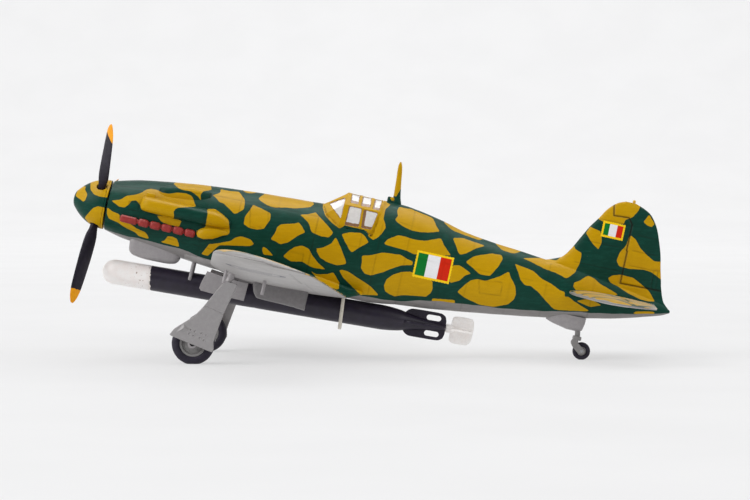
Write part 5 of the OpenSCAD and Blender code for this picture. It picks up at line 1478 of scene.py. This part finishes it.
for s, nm in ((-1, "left"), (1, "right")):
    mir = lambda V, s=s: V * [1, -s, 1]
    P = Parts()
    P.add(*tube([(38.36, LEG_Y, -5.4), (38.15, LEG_Y, -6.3), (37.2, LEG_Y, -10.8), (37.14, LEG_Y, -11.05), (37.05, LEG_Y, -11.45), (36.98, LEG_Y, -11.75)],
                [0.66, 0.7, 0.7, 0.71, 0.71, 0.6]), to=mir)
    P.add(*tube([(37.0, LEG_Y, -11.6), (36.4, LEG_Y, -13.4), (35.25, LEG_Y, -17.4), (35.2, LEG_Y, -17.6)], [0.6, 0.6, 0.6, 0.5]), to=mir)
    m = np.array([MAIN[0], LEG_Y, MAIN[1]])
    t0 = np.array([37.0, LEG_Y, -11.7])
    P.add(*tube([t0, t0 + (m - t0) * 0.5, m], [0.48, 0.48, 0.46]), to=mir)
    for h in np.linspace(0.2, 0.85, 9):
        c = t0 + (m - t0) * h
        d = (m - t0) / np.linalg.norm(m - t0)
        P.add(*tube([c - d * 0.12, c, c + d * 0.12], [0.44, 0.5, 0.44]), to=mir)
    P.add(*rod((MAIN[0], LEG_Y - 0.52, MAIN[1]), (MAIN[0], LEG_Y + 0.52, MAIN[1]), 0.94, 40), to=mir)
    piece(f"leg_{nm}", P, ["grey"], "airframe", [f"gear_leg_{nm}"], angle=50)

    # cover: a fine grid carries the fold, the rivets' dimples and the raised edge
    P = Parts()
    out = np.array(COVER)
    edge = rounded(COVER, 0.1, 2)
    lo, hi = out.min(0), out.max(0)
    V, F = flat([tuple(p) for p in edge], 0.22, 0.08)
    P.add(V, F, to=lambda V, s=s: mir(xz(LEG_Y - 0.57)(V)))
    nx, nz = 230, 290
    X, Z = np.meshgrid(np.linspace(lo[0], hi[0], nx), np.linspace(lo[1], hi[1], nz), indexing="ij")
    sd = poly_distance(X.ravel(), Z.ravel(), edge).reshape(X.shape)
    y = carve(X, Z, [([(33.87, -15.33), (38.04, -16.11)], 0.16, 0.12)]) - 0.02
    for px, pz in DENTS:
        r = np.hypot(X - px, Z - pz)
        y = y + 0.13 * np.exp(-(r / 0.17) ** 4)
        y = y - 0.04 * np.exp(-((r - 0.28) / 0.08) ** 2)
    # a low three-sided blister near the front corner
    bl = poly_distance(X.ravel(), Z.ravel(), [(30.35, -19.95), (29.3, -21.9), (31.75, -20.85)]).reshape(X.shape)
    y = y - 0.34 * smooth(-0.15, 0.55, bl)
    y = y + 0.42 * smooth(0.1, -0.02, sd)
    S = np.stack([X, LEG_Y - 1.045 + np.clip(y, -0.4, 0.45), Z], -1)
    C = (sd[:-1, :-1] + sd[1:, :-1] + sd[1:, 1:] + sd[:-1, 1:]) / 4
    S = mir(S)
    P.add(*grid(S, flip=s > 0, keep=C > -0.01))
    P.open = True
    piece(f"leg_cover_{nm}", P, ["cover_grey"], "airframe", [f"gear_cover_{nm}"], angle=40)

    # hub: rim, dished web with lightening holes, boss
    to = lambda V, s=s: np.stack([MAIN[0] + V[:, 1], s * WHEEL_Y + V[:, 0], MAIN[1] + V[:, 2]], -1)
    prof = [(-1.28, 0.56), (-1.3, 0.95), (-1.22, 1.12), (-0.8, 1.22), (-0.66, 1.5), (-0.6, 2.05), (-0.75, 2.2), (-1.08, 2.3), (-1.15, 2.42), (-1.15, 2.68),
            (-1.08, 2.74), (1.08, 2.74), (1.15, 2.68), (1.15, 2.42), (1.08, 2.3), (0.75, 2.2), (0.6, 2.05), (0.66, 1.5), (0.8, 1.22), (1.22, 1.12),
            (1.3, 0.95), (1.28, 0.56), (-1.28, 0.56)]
    P = Parts().add(*revolve(prof, 96), to=to)
    for k in range(6):
        a = math.radians(60 * k + 15)
        for w in (-1, 1):
            c = np.array([w * 0.66, 1.65 * math.cos(a), 1.65 * math.sin(a)])
            P.add(*tube([c - [w * 0.05, 0, 0], c + [w * 0.06, 0, 0]], [0.17, 0.14], 14), to=to)
    piece(f"hub_{nm}", P, ["grey_dark"], f"wheel_{nm}", [f"wheel_hub_{nm}"], angle=40)

    w, RR = 1.35, 4.45
    prof = [(-w * .8, 2.76), (-w * .95, 2.95), (-w * .985, 3.15), (-w, 3.35), (-w, 3.55), (-w * .95, 3.8), (-w * .86, 4.02), (-w * .72, 4.2), (-w * .55, 4.32),
            (-w * .36, 4.405), (-w * .3, 4.33), (-w * .24, 4.43), (-w * .06, 4.45), (0, 4.36), (w * .06, 4.45), (w * .24, 4.43), (w * .3, 4.33), (w * .36, 4.405),
            (w * .55, 4.32), (w * .72, 4.2), (w * .86, 4.02), (w * .95, 3.8), (w, 3.55), (w, 3.35), (w * .985, 3.15), (w * .95, 2.95), (w * .8, 2.76)]
    P = Parts().add(*revolve(prof + [prof[0]], 160), to=to)

    def press(W):
        W[:, 2] = np.maximum(W[:, 2], 0.0)
        return W

    piece(f"tyre_tread_{nm}", P, ["rubber"], f"wheel_{nm}", [f"tyre_{nm}"], angle=50, row_fn=press)

# ------------------------------------------------------------------ torpedo
TR = 2.67
a = np.linspace(0, np.pi / 2, 26)
prof = [(2.9 * (1 - math.cos(t)), TR * math.sin(t)) for t in a] + [(s_, TR) for s_ in np.arange(3.4, 10.2, 0.4)] + [(10.33, TR), (10.38, TR - 0.03)]
P = Parts().add(*revolve(prof, 112), to=torp)
along = np.repeat([p[0] for p in prof], 112)
P.open = True
piece("torpedo_nose", P, ["warhead"], "airframe", ["torpedo_warhead"], extra={"along": along})

bs = np.concatenate([[10.39, 10.42], np.arange(10.7, 13, 0.25), np.arange(13.2, 60.4, 0.7), np.arange(60.5, 75.4, 0.3), [75.42]])
br = interp([10.38, 60.6, 62.6, 64.6, 66.4, 68.5, 70.5, 72.5, 75.42], [TR, TR, 2.55, 2.3, 1.92, 1.5, 1.15, .9, .62], bs)
br[0] -= 0.03
for c in (33.5, 52.0):
    br = br - 0.05 * np.exp(-((bs - c) / 0.35) ** 2)
prof = list(zip(bs, br)) + [(75.6, 0.4), (75.62, 0.0)]
P = Parts()
V, F = revolve(prof, 112)
w = 10.6 - V[:, 0] + (V[:, 2]) * -0.16
P.add(V, F, to=torp)
P.open = True
piece("torpedo_hull", P, ["torpedo_paint"], "airframe", ["torpedo_body"], extra={"white": w})

fin = [(65.6, 1.7), (66.3, 2.5), (67.2, 3.0), (73.6, 3.0), (74.6, 2.4), (74.9, 1.4), (74.9, 0.4), (70, 0.5), (66, 1.0)]
win = [(71.1 + 0.58 * math.cos(math.radians(q)), 1.72 + 0.58 * math.sin(math.radians(q))) for q in range(90, 271, 15)] + \
      [(73.1 + 0.58 * math.cos(math.radians(q)), 1.72 + 0.58 * math.sin(math.radians(q))) for q in range(-90, 91, 15)]
P = Parts()
V, F = flat(soften(fin, 0.15), 0.25, 0.08, [win[::-1]])
for k in range(4):
    c, s_ = math.cos(math.pi / 2 * k), math.sin(math.pi / 2 * k)
    Q = np.stack([V[:, 0], V[:, 2] * c - V[:, 1] * s_, V[:, 2] * s_ + V[:, 1] * c], -1)
    P.add(Q, F, to=torp)
piece("torpedo_tail_fins", P, ["torpedo_black"], "airframe", ["torpedo_fins"], angle=45)

box = [(75.95, -2.1), (76.25, -2.75), (76.9, -3.05), (79.9, -3.0), (80.7, -2.2), (80.95, 0), (80.85, 2.0), (80.4, 2.85), (77.0, 2.9), (76.1, 2.5)]
P = Parts()
V, F = flat(soften(box, 0.15), 0.3, 0.1)
P.add(np.stack([V[:, 0], V[:, 2], V[:, 1]], -1), F, to=torp)
V, F = flat([(76.0, -3.08), (80.55, -3.08), (80.6, 3.08), (76.0, 3.08)], 0.27, 0.09)
P.add(V, F, to=torp)
P.add(*revolve([(74.95, 0.66), (75.0, 0.86), (75.1, 0.93), (76.4, 0.95), (76.7, 0.8), (76.8, 0.4), (76.8, 0)], 40), to=torp)
P.add(*tube([(76.2, 0, 0.42), (80.4, 0, 0.42)], [0.2, 0.2], 12), to=lambda V: torp(V - [0, 0.22, 0]))
piece("torpedo_box_tail", P, ["white"], "airframe", ["torpedo_air_tail"], angle=45)

P = Parts()
for s in (-1, 1):
    P.add(*rod((28.25, s * 2.1, -7.9), (28.15, s * 2.25, -12.0), 0.36))
piece("sway_braces", P, ["grey"], "airframe", ["torpedo_braces"])
P = Parts()
for s in (-1, 1):
    P.add(*rod((61.2, s * 3.5, -8.2), (61.8, s * 3.2, -15.38), 0.38, 32, 0.1))
piece("rear_rods", P, ["cream"], "airframe", ["torpedo_rods"])

# ------------------------------------------------------------------ tail wheel
TFR = np.array([[104.8, -3.9, .35], [106, -4.35, 1.2], [108, -4.8, 1.6], [110, -5.15, 1.6], [111.6, -5.15, 1.5], [112.8, -4.85, 1.2], [113.2, -3.4, .7]])
xs = np.unique(np.concatenate([np.linspace(104.8, 106, 10), np.arange(106.2, 112.4, 0.3), np.linspace(112.5, 113.2, 10)]))
q = interp(TFR[:, 0], TFR[:, 1:], xs)
a = np.pi + np.linspace(0, np.pi, 36)
R = [np.stack([np.full(36, x), wv * np.sign(np.cos(a)) * np.abs(np.cos(a)) ** 0.8, -2.0 + (b + 2.0) * np.abs(np.sin(a)) ** 0.6], -1) for x, (b, wv) in zip(xs, q)]
P = Parts().add(*grid(np.array(R)))
c = R[-1].mean(0)
P.add(np.vstack([R[-1], c]), [(j + 1, j, 36) for j in range(35)])
P.open = True
piece("tail_fairing", P, ["grey"], "airframe", ["tailwheel_fairing"], angle=60)

TAIL = craft(109.4, 1.86)
P = Parts()
P.add(*tube([(111.92, 0, -4.25), (111.97, 0, -4.6), (112.2, 0, -6.0), (112.25, 0, -6.3)], [0.58, 0.6, 0.58, 0.5]))
P.add(*rbox((111.3, -1.24, -7.0), (113.1, 1.24, -6.12), 0.25, 3))
arm = [(111.4, -6.9), (111.1, -7.7), (111.7, -8.6), (112.7, -9.5), (113.5, -9.85), (114.3, -9.5), (114.4, -8.8), (113.7, -8.3), (112.6, -7.6), (112.5, -6.9)]
for s in (-1, 1):
    P.add(*flat(soften(arm, 0.18), 0.24, 0.09), to=xz(s * 1.0))
piece("tail_fork", P, ["grey_dark"], "airframe", ["tailwheel_fork"], angle=50)

to = lambda V: np.stack([TAIL[0] + V[:, 1], V[:, 0], TAIL[1] + V[:, 2]], -1)
P = Parts().add(*revolve([(-0.58, 0.41), (-0.58, 0.66), (-0.52, 0.72), (-0.4, 0.78), (-0.42, 0.97), (0.42, 0.97), (0.4, 0.78), (0.52, 0.72), (0.58, 0.66), (0.58, 0.41), (-0.58, 0.41)], 64), to=to)
piece("tail_hub", P, ["grey_dark"], "tail_wheel", ["tailwheel_hub"], angle=45)
tp = [(-0.5, 0.98), (-0.57, 1.08), (-0.6, 1.2), (-0.6, 1.45), (-0.56, 1.6), (-0.47, 1.74), (-0.3, 1.85), (-0.15, 1.9), (0.15, 1.9), (0.3, 1.85), (0.47, 1.74),
      (0.56, 1.6), (0.6, 1.45), (0.6, 1.2), (0.57, 1.08), (0.5, 0.98), (-0.5, 0.98)]
P = Parts().add(*revolve(tp, 96), to=to)


def press0(W):
    W[:, 2] = np.maximum(W[:, 2], 0.0)
    return W


piece("tail_tyre", P, ["rubber"], "tail_wheel", ["tailwheel_tyre"], angle=50, row_fn=press0)

# ------------------------------------------------------------------ pieces carried over from the CAD
# nose_plate takes the black material: painted shade for the gap behind the spinner
CARRIED = {"fin_light": "red_lamp", "nose_plate": "black", "shaft_bearing": "brass", "propeller_shaft": "steel", "shaft_collar": "steel",
           "oil_cooler_core": "core", "cockpit_floor": "cockpit", "rear_bulkhead": "cockpit", "seat": "black", "instrument_panel": "black",
           "control_stick": "black", "torpedo_rack": "grey", "main_axle_left": "steel", "main_axle_right": "steel", "tailwheel_axle": "steel"}
for node, mat in CARRIED.items():
    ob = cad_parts[node]
    ob.data.materials.clear()
    ob.data.materials.append(MATS[mat])

# ------------------------------------------------------------------ studio
def backdrop():
    """One sweep of pale card: floor, curve, wall."""
    prof = [(-3.0, 0), (-1, 0), (0.0, 0), (0.8, 0), (1.4, 0)] + [(1.4 + 0.8 * math.sin(t), 0.8 - 0.8 * math.cos(t)) for t in np.linspace(0.1, math.pi / 2, 14)] + [(2.2, 1.6), (2.2, 3.2)]
    V, F = [], []
    xs = np.linspace(-3, 3, 7)
    for yy, zz in prof:
        for x in xs:
            V.append((x, yy, zz))
    n = len(xs)
    for i in range(len(prof) - 1):
        for j in range(n - 1):
            F.append((i * n + j, i * n + j + 1, (i + 1) * n + j + 1, (i + 1) * n + j))
    me = bpy.data.meshes.new("backdrop")
    me.from_pydata(V, [], F)
    me.shade_smooth()
    ob = bpy.data.objects.new("backdrop", me)
    bpy.context.scene.collection.objects.link(ob)
    M = Mat("card")
    col = M.mix(M.step(M.noise(0.02, 3.0), 0.3, 0.7), lin(163, 163, 164), lin(166, 166, 167))
    # lit from below like a sheet of opal acrylic, which keeps the shadows pale
    M.set(Base_Color=col, Roughness=0.9, Specular_IOR_Level=0.0, Emission_Color=(1, 1, 1, 1), Emission_Strength=0.47)
    me.materials.append(MATS["card"])
    ob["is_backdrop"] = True


backdrop()


def area(name, loc, target, size, power, color=(1, 1, 1)):
    L = bpy.data.lights.new(name, "AREA")
    L.shape = "RECTANGLE"
    L.size, L.size_y = size
    L.energy = power
    L.color = color
    ob = bpy.data.objects.new(name, L)
    ob.location = loc
    d = Vector(target) - Vector(loc)
    ob.rotation_euler = d.to_track_quat("-Z", "Y").to_euler()
    bpy.context.scene.collection.objects.link(ob)
    return ob


area("soft_top", (0.0, 0.12, 0.95), (0, 0.02, 0.02), (1.5, 1.2), 2.2)
area("soft_left", (-0.95, -0.5, 0.55), (0, 0, 0.03), (1.0, 0.8), 8.8)
area("soft_right", (0.98, -0.46, 0.52), (0.02, 0, 0.03), (1.1, 0.9), 5.2)
area("wall_wash", (0.0, 0.9, 1.4), (0, 2.1, 0.5), (1.6, 0.6), 16.0)
# a soft sheen from above on the paint only
sheen = area("sheen_top", (0.0, -0.05, 0.95), (0, 0, 0.02), (1.1, 0.7), 14.0)
sheen.visible_diffuse = False
sheen = area("sheen_left", (-0.7, -0.45, 0.62), (0, 0, 0.03), (0.8, 0.6), 2.2)
sheen.visible_diffuse = False

WORLD_DIM, WORLD_BRIGHT = 0.16, 0.62
world = bpy.data.worlds.new("studio")
world.use_nodes = True
wt = world.node_tree
bg = wt.nodes["Background"]
# a light tent: bright above and behind, dim on the side of the viewer
tc = wt.nodes.new("ShaderNodeTexCoord")
dot = wt.nodes.new("ShaderNodeVectorMath")
dot.operation = "DOT_PRODUCT"
wt.links.new(tc.outputs["Generated"], dot.inputs[0])
dot.inputs[1].default_value = (0.0, 0.62, 0.785)
ramp = wt.nodes.new("ShaderNodeMapRange")
ramp.interpolation_type = "SMOOTHSTEP"
wt.links.new(dot.outputs["Value"], ramp.inputs["Value"])
for key, val in zip(("From Min", "From Max", "To Min", "To Max"), (-0.45, 0.55, WORLD_DIM, WORLD_BRIGHT)):
    ramp.inputs[key].default_value = val
wt.links.new(ramp.outputs[0], bg.inputs["Strength"])
bg.inputs[0].default_value = (1, 1, 1, 1)
bpy.context.scene.world = world
bpy.context.scene.view_settings.view_transform = "Standard"
bpy.context.scene.view_settings.look = "None"

# ------------------------------------------------------------------ camera
cam_data = bpy.data.cameras.new("camera")
cam_data.sensor_width = 36
cam_data.lens = 120
cam_data.clip_start, cam_data.clip_end = 0.02, 20
cam = bpy.data.objects.new("camera", cam_data)
PITCH, ROLL = math.radians(1.306), math.radians(0.36)
fwd = Vector((0, math.cos(PITCH), -math.sin(PITCH)))
up0 = Vector((0, math.sin(PITCH), math.cos(PITCH)))
rt0 = Vector((1, 0, 0))
rt = rt0 * math.cos(ROLL) + up0 * math.sin(ROLL)
up = -rt0 * math.sin(ROLL) + up0 * math.cos(ROLL)
R3 = Matrix((rt, up, -fwd)).transposed()
cam.matrix_world = Matrix.Translation((0.000663, -0.538, 0.0356)) @ R3.to_4x4()
bpy.context.scene.collection.objects.link(cam)
bpy.context.scene.camera = cam

lo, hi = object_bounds()
